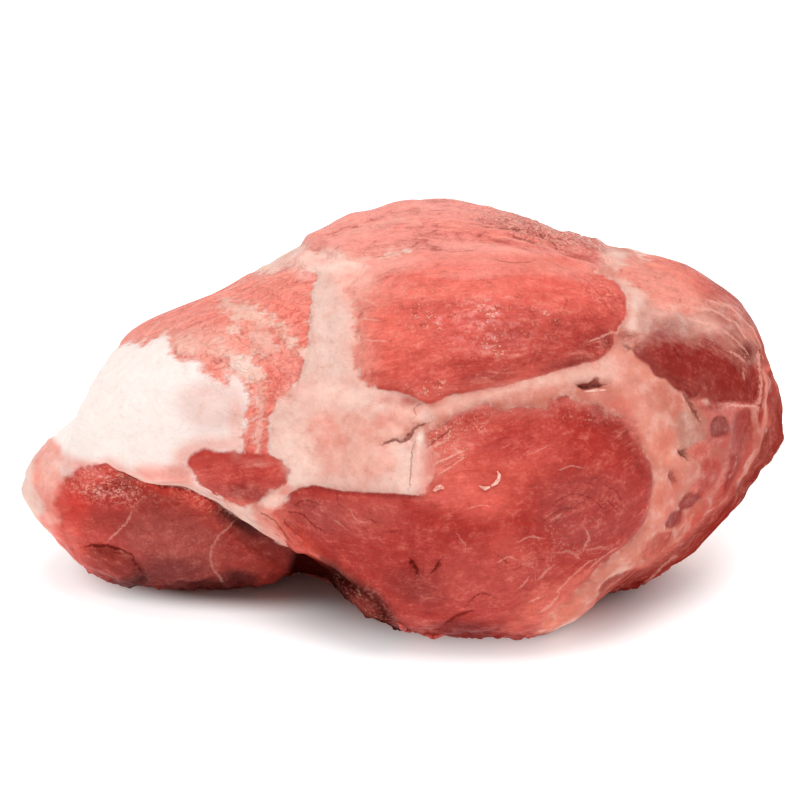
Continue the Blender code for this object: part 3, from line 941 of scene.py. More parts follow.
END_TOP = [(-40, 20), (-20, 34), (10, 38), (40, 30), (66, 14), (90, 30), (80, 90), (-60, 100), (-80, 50)]
END_WINDOW = [
    (-30, -6), (-12, 10), (12, 16), (36, 8), (56, -6), (62, -26), (50, -46), (28, -58), (0, -62), (-22, -54),
    (-36, -34),
]
END_FRONT = [(-110, -70), (-110, 60), (-40, 34), (-14, 12), (-2, -20), (-6, -60), (-20, -80), (-70, -90)]
END_LOW = [
    (-100, -62), (-60, -66), (-30, -72), (0, -76), (40, -70), (80, -74), (110, -60), (110, -100),
    (-100, -100),
]
lay("right", "lean", END_FRONT, (156, 54, 46), grain=70, streak=0.8, rise=0.4, edge=4, fray=1.4, blur=1.4)
lay("right", "lean", END_TOP, (210, 104, 90), grain=-20, streak=0.6, rise=0.4, edge=4, fray=2.0)
lay("right", "lean", END_WINDOW, (172, 66, 58), grain=66, streak=0.8, rise=0.8, edge=4, fray=2.0)
lay(
    "right", "fat", [(-26, -10), (-18, -8), (-12, -26), (-6, -48), (-12, -52), (-22, -34)], (236, 170, 152),
    fray=1.6,
)
lay("right", "fat", [(6, 10), (14, 6), (12, -12), (18, -30), (10, -34), (4, -14)], (236, 176, 158), fray=1.6)
lay(
    "right", "fat", [(36, 2), (42, -4), (38, -22), (44, -38), (36, -36), (30, -18)], (238, 180, 164),
    fray=1.6,
)
lay("right", "lean", END_LOW, (176, 66, 58), grain=6, streak=0.6, rise=0.3, edge=3, fray=2.0)

CUT_END_TOP = [
    (-90, 40), (-60, 16), (-36, 26), (-10, 14), (16, 24), (40, 12), (60, 24), (90, 50), (60, 100),
    (-60, 100),
]
CUT_END_LOW = [
    (-100, -52), (-70, -46), (-44, -54), (-20, -44), (8, -50), (24, -40), (40, -26), (60, -30), (90, -40),
    (100, -100), (-100, -100),
]
lay("left", "lean", CUT_END_TOP, (220, 114, 98), grain=18, streak=0.7, rise=0.4, edge=4, fray=2.2)
lay("left", "lean", CUT_END_LOW, (176, 68, 58), grain=10, streak=0.6, rise=0.3, edge=4, fray=2.0)
lay(
    "left", "lean", [(-30, -6), (-12, 2), (6, -4), (16, -16), (4, -28), (-16, -30), (-30, -20)],
    (214, 106, 92), grain=30, fray=2.2,
)

# Places out of the light.
# Deep folds and undercut flanks hold no wet glint, since nothing bright stands across from them.
DULL = [
    (HOLLOW, 1.0, 1.0),
    ([(716, 330), (790, 336), (810, 400), (804, 470), (760, 530), (700, 590), (600, 624), (606, 576),
      (680, 520), (730, 470), (740, 420), (690, 390), (640, 350)], 1.0, 4.0),
    ([(100, 468), (134, 482), (190, 495), (226, 518), (276, 550), (300, 566), (290, 580), (220, 536),
      (180, 512), (120, 490)], 0.6, 2.0),
    ([(690, 262), (716, 274), (744, 304), (762, 340), (790, 336), (770, 290), (730, 255), (696, 246)],
     0.9, 5.0),
]
dull = np.zeros(count)
for outline, strength, blur in DULL:
    dull = np.maximum(dull, strength * step(-blur, blur, depth_inside("front", outline)) * shares["front"])

# Threads and creases.
# Thin lines of fat run between the muscle bundles, and knife and seam creases are dark: they sink in the
# relief, and their dark is painted shade in the colour. Each is kept as a signed distance to its middle, so
# it can be thinner than the mesh.
LINE_REACH = 3.2
LINE_BOX = 8
PALE_LINES = [
    ([(158, 321), (150, 332), (141, 344)], 0.8, 0.5),
    ([(590, 342), (602, 337), (618, 331)], 0.7, 0.6),
    ([(354, 258), (380, 257), (404, 256)], 0.9, 0.6),
    ([(759, 352), (761, 380), (760, 408)], 0.7, 0.6),
    ([(131, 513), (126, 523), (119, 531), (108, 541)], 0.8, 0.45),
    ([(229, 528), (219, 538), (211, 552), (212, 570), (222, 584)], 0.8, 0.35),
    ([(732, 405), (744, 406), (757, 406)], 0.7, 0.7),
    ([(612, 596), (636, 590), (652, 578), (676, 556)], 0.7, 0.4),
    ([(352, 322), (364, 321), (378, 322)], 0.6, 0.5),
    ([(352, 344), (368, 342), (386, 343)], 0.6, 0.5),
    ([(344, 296), (360, 300), (376, 306)], 0.8, 0.4),
    ([(436, 464), (450, 457), (462, 452)], 0.7, 0.7),
    ([(434, 447), (444, 442)], 0.9, 0.6),
    ([(541, 608), (549, 603), (556, 596)], 0.8, 0.5),
    ([(531, 600), (538, 596)], 0.8, 0.5),
    ([(586, 530), (588, 536), (584, 546)], 0.8, 0.4),
    ([(556, 552), (568, 550), (576, 556)], 0.9, 0.3),
    ([(590, 548), (602, 546)], 0.9, 0.3),
    ([(336, 520), (344, 526)], 0.6, 0.3),
    ([(460, 536), (464, 542)], 0.6, 0.3),
    ([(552, 520), (560, 514)], 0.7, 0.3),
    ([(344, 236), (366, 230), (388, 230)], 1.2, 0.4),
    ([(378, 226), (400, 223), (420, 226)], 1.6, 0.4),
    ([(400, 212), (424, 209), (448, 212)], 0.9, 0.3),
    ([(500, 240), (530, 245), (552, 252)], 0.8, 0.3),
    ([(716, 312), (728, 318), (738, 326), (748, 338)], 0.6, 0.6),
    ([(730, 350), (738, 354), (746, 360)], 0.6, 0.5),
    ([(744, 318), (754, 330), (761, 344), (766, 358)], 0.6, 0.5),
    ([(746, 372), (747, 378)], 0.7, 0.4),
    ([(698, 307), (714, 310), (730, 321)], 1.1, 0.6),
    ([(724, 331), (736, 340), (748, 353)], 0.9, 0.5),
    ([(690, 318), (704, 322), (716, 328)], 1.0, 0.5),
    ([(712, 300), (728, 306), (742, 318)], 0.8, 0.5),
    ([(416, 444), (416, 462), (413, 486)], 0.9, 0.5),
    ([(470, 508), (480, 505), (488, 506)], 0.5, 0.4),
    ([(520, 540), (530, 536), (540, 537)], 0.5, 0.4),
    ([(536, 452), (546, 447)], 0.5, 0.35),
    ([(500, 560), (508, 556), (514, 558)], 0.6, 0.4),
    ([(560, 470), (570, 466), (580, 468)], 0.5, 0.35),
    ([(540, 576), (550, 566)], 0.7, 0.4),
    ([(520, 586), (528, 578)], 0.6, 0.4),
    ([(352, 512), (358, 520), (366, 522)], 0.5, 0.35),
    ([(556, 590), (572, 574), (590, 560)], 0.6, 0.4),
    ([(590, 566), (602, 556), (614, 548)], 0.7, 0.35),
    ([(440, 474), (452, 466), (464, 458)], 0.5, 0.6),
]
DARK_LINES = [
    ([(484, 228), (500, 229), (520, 232)], 0.5, 0.6),
    ([(512, 239), (522, 242), (532, 245)], 0.5, 0.6),
    ([(540, 240), (550, 244), (556, 250)], 0.5, 0.5),
    ([(378, 255), (388, 255), (398, 252)], 0.4, 0.35),
    ([(496, 262), (510, 265), (530, 264)], 0.45, 0.45),
    ([(420, 278), (440, 275)], 0.4, 0.25),
    ([(590, 300), (600, 305), (606, 311)], 0.4, 0.35),
    ([(604, 290), (612, 298), (616, 305)], 0.4, 0.35),
    ([(560, 296), (566, 302), (563, 310)], 0.4, 0.25),
    ([(420, 404), (414, 409), (416, 415)], 0.5, 0.4),
    ([(676, 348), (679, 353)], 0.5, 0.5),
    ([(262, 512), (276, 522), (290, 534)], 0.7, 0.6),
    ([(122, 477), (134, 481), (162, 487), (190, 491), (208, 501), (226, 513), (250, 529), (276, 545),
      (300, 558)], 1.3, 0.9),
    ([(290, 512), (302, 514), (312, 524), (322, 530)], 0.5, 0.5),
    ([(336, 494), (340, 504), (352, 512)], 0.4, 0.35),
    ([(296, 504), (306, 500), (318, 503)], 0.5, 0.4),
    ([(520, 566), (530, 560), (544, 558)], 0.4, 0.3),
    ([(560, 486), (574, 482), (590, 484)], 0.4, 0.3),
    ([(88, 548), (104, 549), (118, 552), (130, 558)], 0.9, 0.8),
    ([(129, 560), (138, 572)], 0.7, 0.6),
    ([(386, 443), (394, 440), (402, 440), (408, 434)], 0.8, 0.9),
    ([(399, 441), (405, 439), (411, 433)], 1.3, 0.9),
    ([(412, 448), (411, 466), (410, 484)], 0.6, 0.5),
    ([(556, 502), (572, 494), (590, 498), (604, 510)], 0.5, 0.35),
    ([(545, 520), (560, 510), (575, 508)], 0.5, 0.35),
    ([(606, 486), (616, 492), (620, 502)], 0.5, 0.35),
    ([(468, 602), (480, 592), (490, 594)], 0.6, 0.5),
    ([(386, 532), (396, 530)], 0.5, 0.35),
    ([(430, 446), (440, 438), (448, 432)], 0.6, 0.5),
    ([(411, 431), (418, 426), (424, 424)], 0.8, 0.75),
    ([(412, 563), (414, 567), (416, 571)], 1.1, 0.85),
    ([(439, 563), (437, 567), (434, 570)], 1.0, 0.85),
    ([(372, 520), (376, 522)], 0.7, 0.5),
    ([(500, 556), (505, 560)], 0.7, 0.4),
    ([(606, 500), (612, 506)], 0.6, 0.4),
    ([(581, 385), (592, 387), (603, 385)], 0.9, 0.6),
    ([(448, 622), (458, 616), (470, 612)], 0.8, 0.6),
    ([(687, 398), (692, 406), (697, 417)], 1.3, 0.9),
    ([(680, 452), (684, 456)], 0.8, 0.8),
]


def lines_on(side, lines):
    """The signed distance to the nearest of some lines, in half widths, and how strong the line is."""
    offset = np.full(count, FAR)
    near = np.zeros(count)
    for points, half_width, strength in lines:
        curve = curve_through(on_side(side, points), closed=False)
        low, high = curve.min(axis=0) - LINE_BOX, curve.max(axis=0) + LINE_BOX
        in_box = np.all((sides[side] > low) & (sides[side] < high), axis=1)
        close = np.flatnonzero(in_box & (shares[side] > 0.2))
        distance, hand = near_line(sides[side][close], curve, closed=False)
        here = strength * np.exp(-((distance / LINE_REACH) ** 2))
        better = here > near[close]
        near[close[better]] = here[better]
        offset[close[better]] = (hand * distance / half_width)[better]
    return offset, near * shares[side]


pale_offset, pale_near = lines_on("front", PALE_LINES)
dark_offset, dark_near = lines_on("front", DARK_LINES)


# Relief of the skin.
# Muscles bulge inside their edges, bundles of fibres stand up as low ridges, fat is lumpy, and the creases
# are sunk in. Where fibres are cut across or crusted the skin is grainy.
GRAINY = [
    ((540, 230), (110, 22), -16, 1.3), ((580, 240), (36, 18), -16, 1.4), ((100, 486), (60, 26), -12, 1.0),
    ((200, 500), (60, 14), -22, 0.7), ((366, 600), (60, 26), -38, 0.1), ((630, 342), (16, 14), 0, 0.8),
    ((596, 292), (36, 20), -30, 0.4), ((470, 420), (40, 12), 10, 0.3),
]
# Where pale glints are painted into the lean's colour, and how wet its coat is.
GLINTING = [
    ((440, 540), (180, 90), 0, 0.05), ((470, 320), (150, 70), 0, 0.4), ((690, 320), (60, 30), -30, 0.4),
    ((425, 318), (40, 18), -20, 1.0), ((485, 318), (26, 26), 0, 1.0), ((494, 350), (30, 18), -60, 1.0),
    ((545, 320), (26, 12), 0, 0.9), ((430, 388), (40, 12), 4, 1.0), ((400, 300), (30, 22), 0, 0.8),
    ((370, 604), (60, 26), -38, 0.25), ((450, 440), (30, 60), -60, 0.9), ((110, 488), (70, 22), -12, 1.0),
    ((400, 560), (110, 50), 0, 0.08), ((560, 540), (90, 40), 30, 0.25), ((590, 415), (50, 16), 0, 0.5),
    ((180, 545), (90, 36), 0, 0.15), ((762, 380), (10, 60), 0, 0.3), ((690, 440), (50, 50), 0, 0.3),
    ((560, 238), (100, 22), -16, 0.8),
]
FOLDS = [
    ([(104, 468), (134, 484), (190, 495), (226, 517), (276, 548), (304, 566)], 2.6, -1.6),
    ([(104, 458), (134, 472), (190, 482), (230, 503), (276, 531), (300, 546)], 3.2, 1.2),
    ([(86, 550), (110, 552), (128, 560), (141, 576), (144, 592)], 1.6, -1.3),
    ([(96, 566), (112, 572), (124, 584)], 5.0, 1.6),
    ([(228, 526), (213, 546), (210, 566), (222, 584)], 1.8, -0.8),
    ([(130, 512), (126, 524), (108, 542)], 1.6, -0.5),
    ([(160, 520), (180, 540), (180, 566)], 8.0, 1.0),
    ([(250, 556), (262, 572), (262, 584)], 7.0, 1.0),
    ([(350, 226), (400, 214), (450, 210), (500, 216)], 1.8, -0.7),
    ([(336, 240), (400, 232), (440, 227), (500, 230), (560, 244)], 1.8, -0.8),
    ([(380, 248), (430, 244), (480, 243), (540, 251), (590, 262)], 1.8, -0.8),
    ([(350, 258), (400, 258), (470, 260), (540, 264), (596, 270)], 1.8, -0.5),
    ([(286, 524), (300, 538), (322, 555), (344, 570), (366, 588), (386, 608), (398, 624)], 2.2, 1.6),
    ([(292, 556), (310, 566), (326, 576)], 3.0, -1.6),
    ([(262, 508), (274, 503), (288, 497)], 2.0, 1.2),
    ([(412, 440), (409, 460), (404, 484)], 1.3, -0.9),
    ([(420, 440), (418, 460), (412, 486)], 1.5, 0.8),
    ([(402, 444), (398, 462), (394, 478)], 1.6, 0.6),
    ([(312, 426), (306, 446), (316, 468)], 1.6, -0.5),
    ([(344, 432), (348, 454), (336, 474)], 1.6, -0.5),
    ([(384, 400), (388, 420), (404, 428)], 1.6, -0.5),
    ([(436, 430), (428, 440), (436, 458), (430, 476), (424, 494)], 2.0, 0.9),
    ([(422, 436), (420, 456), (416, 480)], 1.6, -0.5),
    ([(382, 444), (401, 441), (411, 432), (428, 421)], 1.4, -1.1),
    ([(300, 486), (340, 492), (380, 496), (424, 497)], 1.6, -0.6),
    ([(412, 560), (414, 568), (418, 575)], 1.4, -1.4),
    ([(436, 560), (438, 568), (436, 575)], 1.4, -1.2),
    ([(446, 624), (458, 616), (472, 612)], 1.8, -1.0),
    ([(580, 385), (592, 386), (604, 385)], 1.6, -0.8),
    ([(578, 378), (594, 376), (608, 378)], 2.2, 0.8),
    ([(622, 332), (630, 342), (638, 350)], 1.8, -0.9),
    ([(682, 384), (690, 398), (697, 414)], 1.8, -1.0),
    ([(752, 330), (762, 356), (764, 390), (762, 420), (752, 460)], 1.8, 0.7),
    ([(766, 352), (771, 380), (770, 410), (764, 446)], 1.6, -0.7),
    ([(722, 416), (728, 440), (722, 468), (704, 496)], 1.8, 0.6),
    ([(712, 504), (690, 528), (664, 556), (620, 584)], 2.4, 0.8),
    ([(704, 512), (680, 542), (650, 566), (606, 590)], 2.0, -0.8),
    ([(656, 470), (655, 500), (646, 528), (612, 560), (574, 598)], 1.8, -0.7),
    ([(176, 346), (196, 356), (202, 374), (226, 386), (244, 384)], 1.8, 0.5),
    ([(246, 386), (250, 410), (244, 440)], 1.6, 0.5),
    ([(216, 390), (226, 410), (220, 436)], 4.0, -0.8),
    ([(300, 400), (320, 430), (312, 470)], 6.0, 0.8),
    ([(350, 396), (372, 424), (378, 460)], 7.0, 0.8),
    ([(336, 404), (346, 440), (340, 480)], 3.0, -0.5),
    ([(318, 262), (326, 300), (330, 350), (326, 384)], 5.0, -0.8),
    ([(600, 360), (640, 372), (660, 400), (668, 440)], 4.0, 0.8),
    ([(24, 478), (30, 492), (38, 506)], 1.6, -1.4),
    ([(412, 418), (426, 428), (432, 446), (430, 470), (424, 492)], 3.0, 0.9),
    ([(330, 238), (380, 224), (440, 217), (500, 221), (560, 234)], 1.2, -0.9),
    ([(350, 247), (400, 239), (450, 237), (520, 243), (580, 256)], 1.2, -0.8),
    ([(420, 205), (470, 208), (530, 222), (590, 244)], 1.2, -0.8),
    ([(286, 494), (276, 502), (270, 512)], 2.4, 1.2),
]
CORNERS = [
    ((354, 597), 15, 2.8), ((376, 611), 15, 2.8), ((336, 589), 12, 1.6), ((776, 386), 16, 1.0),
    ((783, 440), 9, 1.8), ((764, 472), 11, -2.2), ((750, 488), 11, -2.2), ((690, 552), 16, 1.4),
    ((58, 536), 16, 2.0), ((372, 208), 24, -1.0), ((472, 200), 20, -1.0), ((340, 600), 16, 1.6),
    ((366, 610), 14, 1.4), ((80, 566), 18, 1.2), ((130, 590), 26, 1.0), ((504, 206), 26, -1.6),
    ((430, 197), 30, -0.8), ((298, 238), 16, 1.5), ((578, 236), 18, 1.0), ((700, 262), 30, 0.8),
    ((740, 300), 22, 0.8), ((20, 488), 14, 2.2),
]
RIDGE_HEIGHT = 0.55
LUMP_HEIGHT = 0.9
SWELL_HEIGHT = 0.9
GRAIN_HEIGHT = 0.5
SHEET_HEIGHT = 0.6
CREASE_DEPTH = 0.8
RAGGED_HEIGHT = 2.0
TRIM = 0.9

field = {}
for key in ("fat_depth", "fray", "blur", "streak", "crinkle", "rise", "lean", "fat"):
    parts = []
    for side, layer in layers.items():
        share = shares[side] if layer[key].ndim == 1 else shares[side][:, None]
        parts.append(layer[key] * share)
    field[key] = sum(parts)
ranked = np.sort(np.stack([shares[side] for side in layers]), axis=0)
field["streak"] = field["streak"] * step(0.02, 0.45, ranked[-1] - ranked[-2])
field["grain"] = np.zeros((count, 3))
for side, layer in layers.items():
    field["grain"] = np.where((shares[side] >= ranked[-1])[:, None], layer["grain"], field["grain"])


def noise_at(points, per_mm, octaves=1):
    """Smooth noise between -1 and 1 at points in mm."""
    found = np.zeros(len(points))
    size = 1.0
    for octave in range(octaves):
        scaled = points * per_mm * 2**octave + 17.3 * octave
        found += size * np.array([noise.noise(Vector(point)) for point in scaled])
        size *= 0.5
    return found


for key, table in (("grainy", GRAINY), ("glint", GLINTING)):
    field[key] = np.zeros(count) + (0.25 if key == "glint" else 0.0) * (1 - shares["front"])
    for middle, half, turn, strength in table:
        field[key] = np.maximum(field[key], strength * oval("front", middle, half, turn) * shares["front"])

here_mm = place / MM
lean_part = step(1.0, -1.0, field["fat_depth"])
swell = noise_at(here_mm, 0.028, 2) * SWELL_HEIGHT
ridge_noise = noise_at(field["grain"], 0.26, 2)
lump_noise = noise_at(here_mm, 0.09, 3)
ridges = ridge_noise * RIDGE_HEIGHT * lean_part * (0.4 + field["streak"])
lumps = lump_noise * LUMP_HEIGHT * (1 - lean_part)
grains = noise_at(here_mm, 0.42, 2) * GRAIN_HEIGHT * field["grainy"]
sheet_edge = SHEET_HEIGHT * step(-0.6, 2.0, field["fat_depth"])
sunk = CREASE_DEPTH * np.exp(-((dark_offset / 2.2) ** 2)) * dark_near
folds = np.zeros(count)
for points, half_width, lift in FOLDS:
    curve = curve_through(on_side("front", points), closed=False)
    low, high = curve.min(axis=0) - 2.5 * half_width, curve.max(axis=0) + 2.5 * half_width
    in_box = np.all((sides["front"] > low) & (sides["front"] < high), axis=1)
    close = np.flatnonzero(in_box & (shares["front"] > 0))
    distance, hand = near_line(sides["front"][close], curve, closed=False)
    folds[close] += lift * np.exp(-((distance / half_width) ** 2)) * shares["front"][close]
for middle, size, push in CORNERS:
    away = sides["front"] * PIXELS_PER_MM - np.array(middle)
    folds += push * np.exp(-((away**2).sum(axis=1) / size**2)) * step(-0.7, -0.3, facing_front)
ragged = noise_at(here_mm, 0.22, 2) * RAGGED_HEIGHT * step(20 * MM, 4 * MM, place[:, 2]) * lean_part
height = field["rise"] + ragged + folds + swell + ridges + lumps + grains + sheet_edge - sunk - TRIM
on_table = step(0.5 * MM, 3.0 * MM, place[:, 2])
height = np.where(outward[:, 2] < -0.5, height * on_table, height)
relief = place + outward * height[:, None] * MM
relief[:, 2] = np.maximum(relief[:, 2], np.minimum(place[:, 2], 0.0))
flesh_mesh.vertices.foreach_set("co", relief.astype(np.float32).ravel())
flesh_mesh.update()
for polygon in flesh_mesh.polygons:
    polygon.use_smooth = True

field["dull"] = dull
field["ridge"] = ridge_noise
field["lump"] = lump_noise
field["pale_offset"] = pale_offset
field["pale_near"] = pale_near
field["dark_offset"] = dark_offset
field["dark_near"] = dark_near
for name, values in field.items():
    if name == "rise":
        continue
    kind, slot = ("FLOAT", "value") if values.ndim == 1 else ("FLOAT_VECTOR", "vector")
    attribute = flesh_mesh.attributes.new(name, kind, "POINT")
    attribute.data.foreach_set(slot, values.astype(np.float32).ravel())


# Wet meat.
# One material covers lean and fat. Fibres are noise drawn out along the grain, fat edges break up into
# strands, and both are slightly see-through and wet.
class Wire:
    """A socket of a material, on which sums are written as sums."""

    def __init__(self, tree, socket):
        self.tree = tree
        self.socket = socket

    def sum(self, operation, first, second=0.0):
        return node(self.tree, "ShaderNodeMath", {"operation": operation}, {0: first, 1: second})

    def __add__(self, other):
        return self.sum("ADD", self, other)

    def __radd__(self, other):
        return self.sum("ADD", other, self)

    def __sub__(self, other):
        return self.sum("SUBTRACT", self, other)

    def __rsub__(self, other):
        return self.sum("SUBTRACT", other, self)

    def __mul__(self, other):
        return self.sum("MULTIPLY", self, other)

    def __rmul__(self, other):
        return self.sum("MULTIPLY", other, self)

    def __truediv__(self, other):
        return self.sum("DIVIDE", self, other)

    def __abs__(self):
        return self.sum("ABSOLUTE", self)


def node(tree, kind, settings, inputs, output=0):
    """Add a node to a material: its settings first, then its inputs. Gives one of its outputs."""
    made = tree.nodes.new(kind)
    for name, value in settings.items():
        setattr(made, name, value)
    for name, value in inputs.items():
        if isinstance(value, Wire):
            tree.links.new(value.socket, made.inputs[name])
        else:
            made.inputs[name].default_value = value
    return Wire(tree, made.outputs[output])


def ramp(low, high, value):
    """0 below low, 1 above high, smooth between. High may be the lower one."""
    settings = {"interpolation_type": "SMOOTHSTEP"}
    if low < high:
        return node(value.tree, "ShaderNodeMapRange", settings, {0: value, 1: low, 2: high, 3: 0.0, 4: 1.0})
    return node(value.tree, "ShaderNodeMapRange", settings, {0: value, 1: high, 2: low, 3: 1.0, 4: 0.0})


def mixed(factor, first, second):
    """From the first colour to the second."""
    return node(factor.tree, "ShaderNodeMix", {"data_type": "RGBA"}, {0: factor, 6: first, 7: second}, 2)


def brightened(colour, factor):
    return node(colour.tree, "ShaderNodeVectorMath", {"operation": "SCALE"}, {0: colour, "Scale": factor})


def added(first, second):
    return node(first.tree, "ShaderNodeVectorMath", {"operation": "ADD"}, {0: first, 1: second})


def multiplied(first, second):
    return node(first.tree, "ShaderNodeVectorMath", {"operation": "MULTIPLY"}, {0: first, 1: second})


def part_of(colour, weights):
    settings = {"operation": "DOT_PRODUCT"}
    return node(colour.tree, "ShaderNodeVectorMath", settings, {0: colour, 1: weights}, "Value")


def stored(tree, name, output="Fac"):
    """What was worked out for each vertex of the skin under this name."""
    return node(tree, "ShaderNodeAttribute", {"attribute_name": name}, {}, output)


def noise_on(vector, scale, detail=2.0, roughness=0.5, distortion=0.0, output="Fac"):
    inputs = {"Vector": vector, "Scale": scale, "Detail": detail, "Roughness": roughness}
    inputs["Distortion"] = distortion
    return node(vector.tree, "ShaderNodeTexNoise", {}, inputs, output)


def solid(rgb):
    """A colour as a screen shows it, for a socket."""
    return (*linear(rgb), 1.0)


meat = bpy.data.materials.new("raw_meat")
meat.use_nodes = True
tree = meat.node_tree
surface = tree.nodes["Principled BSDF"]
here = brightened(node(tree, "ShaderNodeTexCoord", {}, {}, "Object"), 1 / MM)
wander = noise_on(here, 0.045, 2.0, 0.5, 0.0, "Color")
grain = added(stored(tree, "grain", "Vector"), brightened(wander, 7.0))
streak = stored(tree, "streak")
fray = stored(tree, "fray")
grainy = stored(tree, "grainy")
glint = stored(tree, "glint")
crinkle = stored(tree, "crinkle")

bundles = noise_on(grain, 0.17, 2.0, 0.5)
strands = noise_on(grain, 0.6, 2.0, 0.6)
fine = noise_on(grain, 1.3, 1.0, 0.5)
torn = noise_on(here, 0.28, 4.0, 0.6)
wavy = noise_on(here, 0.24, 2.0, 0.5)
blotch = noise_on(here, 0.07, 3.0, 0.55)
cloud = noise_on(here, 0.16, 4.0, 0.55)
speck = noise_on(here, 0.75, 1.0, 0.5)
splits = abs(noise_on(grain, 0.3, 1.0, 0.4) - 0.5)
creases = abs(noise_on(here, 0.2, 3.0, 0.55, 0.2) - 0.5)

uneven = (wavy - 0.5) * 7.0 + (torn - 0.5) * 2.0 + (strands - 0.5) * 5.0 * streak
edge = stored(tree, "fat_depth") + fray * uneven
fat_cover = ramp(-1.0, 1.0, edge / stored(tree, "blur"))
film = ramp(-7.0, 0.0, edge + (bundles - 0.5) * 8.0 + (strands - 0.5) * 6.0) * ramp(0.3, 1.6, fray)
contact_shade = ramp(-2.2, -0.6, edge) * ramp(0.5, -0.3, edge) * ramp(0.8, 0.2, fray)

lean = stored(tree, "lean", "Vector")
# The lean is painted paler on the crests of the fibre ridges and darker in their valleys, painted light and
# shade that follow the relief; the other noises vary its tone at random.
ridge = stored(tree, "ridge")
lean = brightened(
    lean,
    0.98 + (bundles - 0.5) * 0.4 * streak + (cloud - 0.5) * 0.36 + (torn - 0.5) * 0.35 + (speck - 0.5) * 0.2
    + ((strands - 0.5) * 0.3 + (fine - 0.5) * 0.2 + ridge * 0.1) * streak,
)
pale = (bundles - 0.5) * 0.6 + (strands - 0.5) * 0.9 + (fine - 0.5) * 0.6 + ridge * 0.3
pale = 0.5 + pale * streak + (cloud - 0.5) * 0.35 + (torn - 0.5) * 0.3 + (speck - 0.5) * 0.25
redness = part_of(lean, (1.0, 0.0, 0.0))
lit = ramp(0.06, 0.3, redness)
deeper = multiplied(lean, (0.7, 0.42, 0.38))
lean = mixed(ramp(0.46, 0.1, pale) * 0.8, lean, deeper)
lean = mixed(ramp(0.46, 1.0, pale) * 0.6 * lit, lean, solid((248, 162, 140)))
lean = mixed(film * 0.5 * lit, lean, solid((238, 164, 148)))
lean = mixed(ramp(0.012, 0.002, splits) * ramp(0.5, 0.6, blotch) * streak * 0.4, lean, deeper)
lean = mixed(ramp(0.014, 0.003, creases) * crinkle * 0.3, lean, deeper)
beside_crease = ramp(0.05, 0.09, creases) * ramp(0.13, 0.09, creases)
lean = mixed(beside_crease * crinkle * 0.15, lean, solid((250, 200, 184)))
# Grainy cut faces: pale grain tops that are partly painted glints, and darker cells between them.
cells = noise_on(here, 0.66, 2.0, 0.6, 0.6)
lean = mixed(ramp(0.51, 0.59, cells) * ramp(0.38, 0.52, torn) * grainy * 0.75, lean, solid((254, 172, 150)))
lean = mixed(ramp(0.47, 0.39, cells) * grainy * 0.6, lean, multiplied(lean, (0.6, 0.34, 0.32)))
# Painted glints: small pale flecks in the lean's colour, where the glint table asks for them.
painted_glints = ramp(0.55, 0.61, noise_on(here, 0.9, 2.0, 0.6)) * ramp(0.44, 0.54, noise_on(here, 0.2, 3.0, 0.6))
painted_glints = painted_glints * glint
lean = mixed(painted_glints * 0.7, lean, solid((254, 184, 162)))
# Painted shade: the lean is darkened in a narrow band where fat lies over it.
lean = mixed(contact_shade * 0.5, lean, deeper)

fat = stored(tree, "fat", "Vector")
blueness = part_of(fat, (0.0, 0.0, 1.0))
mottle = 1.0 - ramp(0.4, 0.65, blueness) * 0.8
fat = brightened(fat, 1.0 + ((torn - 0.5) * 0.15 + (blotch - 0.5) * 0.25) * mottle + (speck - 0.5) * 0.06)
fat_deeper = multiplied(fat, (0.88, 0.68, 0.64))
# Painted shade: the fat is darker in the hollows between its lumps.
fat = mixed(ramp(0.1, -0.7, stored(tree, "lump")) * 0.35 * mottle, fat, fat_deeper)
fat = mixed(ramp(0.50, 0.64, cloud) * 0.45 * mottle, fat, fat_deeper)
fat = mixed(ramp(0.52, 0.3, cloud) * 0.25 * mottle, fat, solid((250, 214, 200)))
fat = mixed(ramp(0.54, 0.72, torn) * 0.4 * mottle, fat, fat_deeper)
fat = mixed(ramp(0.010, 0.002, creases) * ramp(0.5, 0.65, cloud) * 0.4 * mottle, fat, solid((200, 122, 106)))

pale_line = ramp(1.0, 0.2, abs(stored(tree, "pale_offset") + (torn - 0.5) * 2.5) + (speck - 0.5) * 2.0)
pale_line = pale_line * stored(tree, "pale_near")
dark_line = ramp(1.0, 0.1, abs(stored(tree, "dark_offset") + (torn - 0.5) * 2.0) + (speck - 0.5) * 1.5)
dark_line = dark_line * stored(tree, "dark_near")
colour = mixed(fat_cover, lean, fat)
colour = mixed(pale_line * 0.8, colour, solid((244, 180, 162)))
# Painted shade in the creases.
crease_shade = mixed(fat_cover, solid((84, 14, 10)), solid((122, 46, 38)))
colour = mixed(dark_line * 0.85, colour, crease_shade)

wet = ramp(0.45, 0.65, noise_on(here, 0.11, 2.0))
dull = stored(tree, "dull")
dull = dull + dark_line * (1.0 - dull)
rough = 0.46 - wet * 0.12 + fat_cover * 0.02 - painted_glints * 0.2 + dark_line * 0.4
lean_height = (strands - 0.5) * 1.6 + (fine - 0.5) * 0.5 + (bundles - 0.5) * 1.6
lean_height = lean_height - ramp(0.03, 0.0, splits) * 0.3
bump_height = (
    lean_height * (1.0 - fat_cover) * streak + (cloud - 0.5) * 1.2 + (wavy - 0.5) * 1.6 + (speck - 0.5) * 0.2
    + (cells - 0.5) * grainy * 3.0 + painted_glints * 0.5 - dark_line * 0.8 + pale_line * 0.3 + fat_cover * 0.45
    - ramp(0.03, 0.0, creases) * (0.12 + crinkle * 0.2)
)
bump = node(tree, "ShaderNodeBump", {}, {"Height": bump_height, "Distance": 0.7 * MM, "Strength": 0.9})
coat = glint * ramp(0.45, 0.6, torn) * 0.6
tree.links.new(coat.socket, surface.inputs["Coat Weight"])
surface.inputs["Coat Roughness"].default_value = 0.14
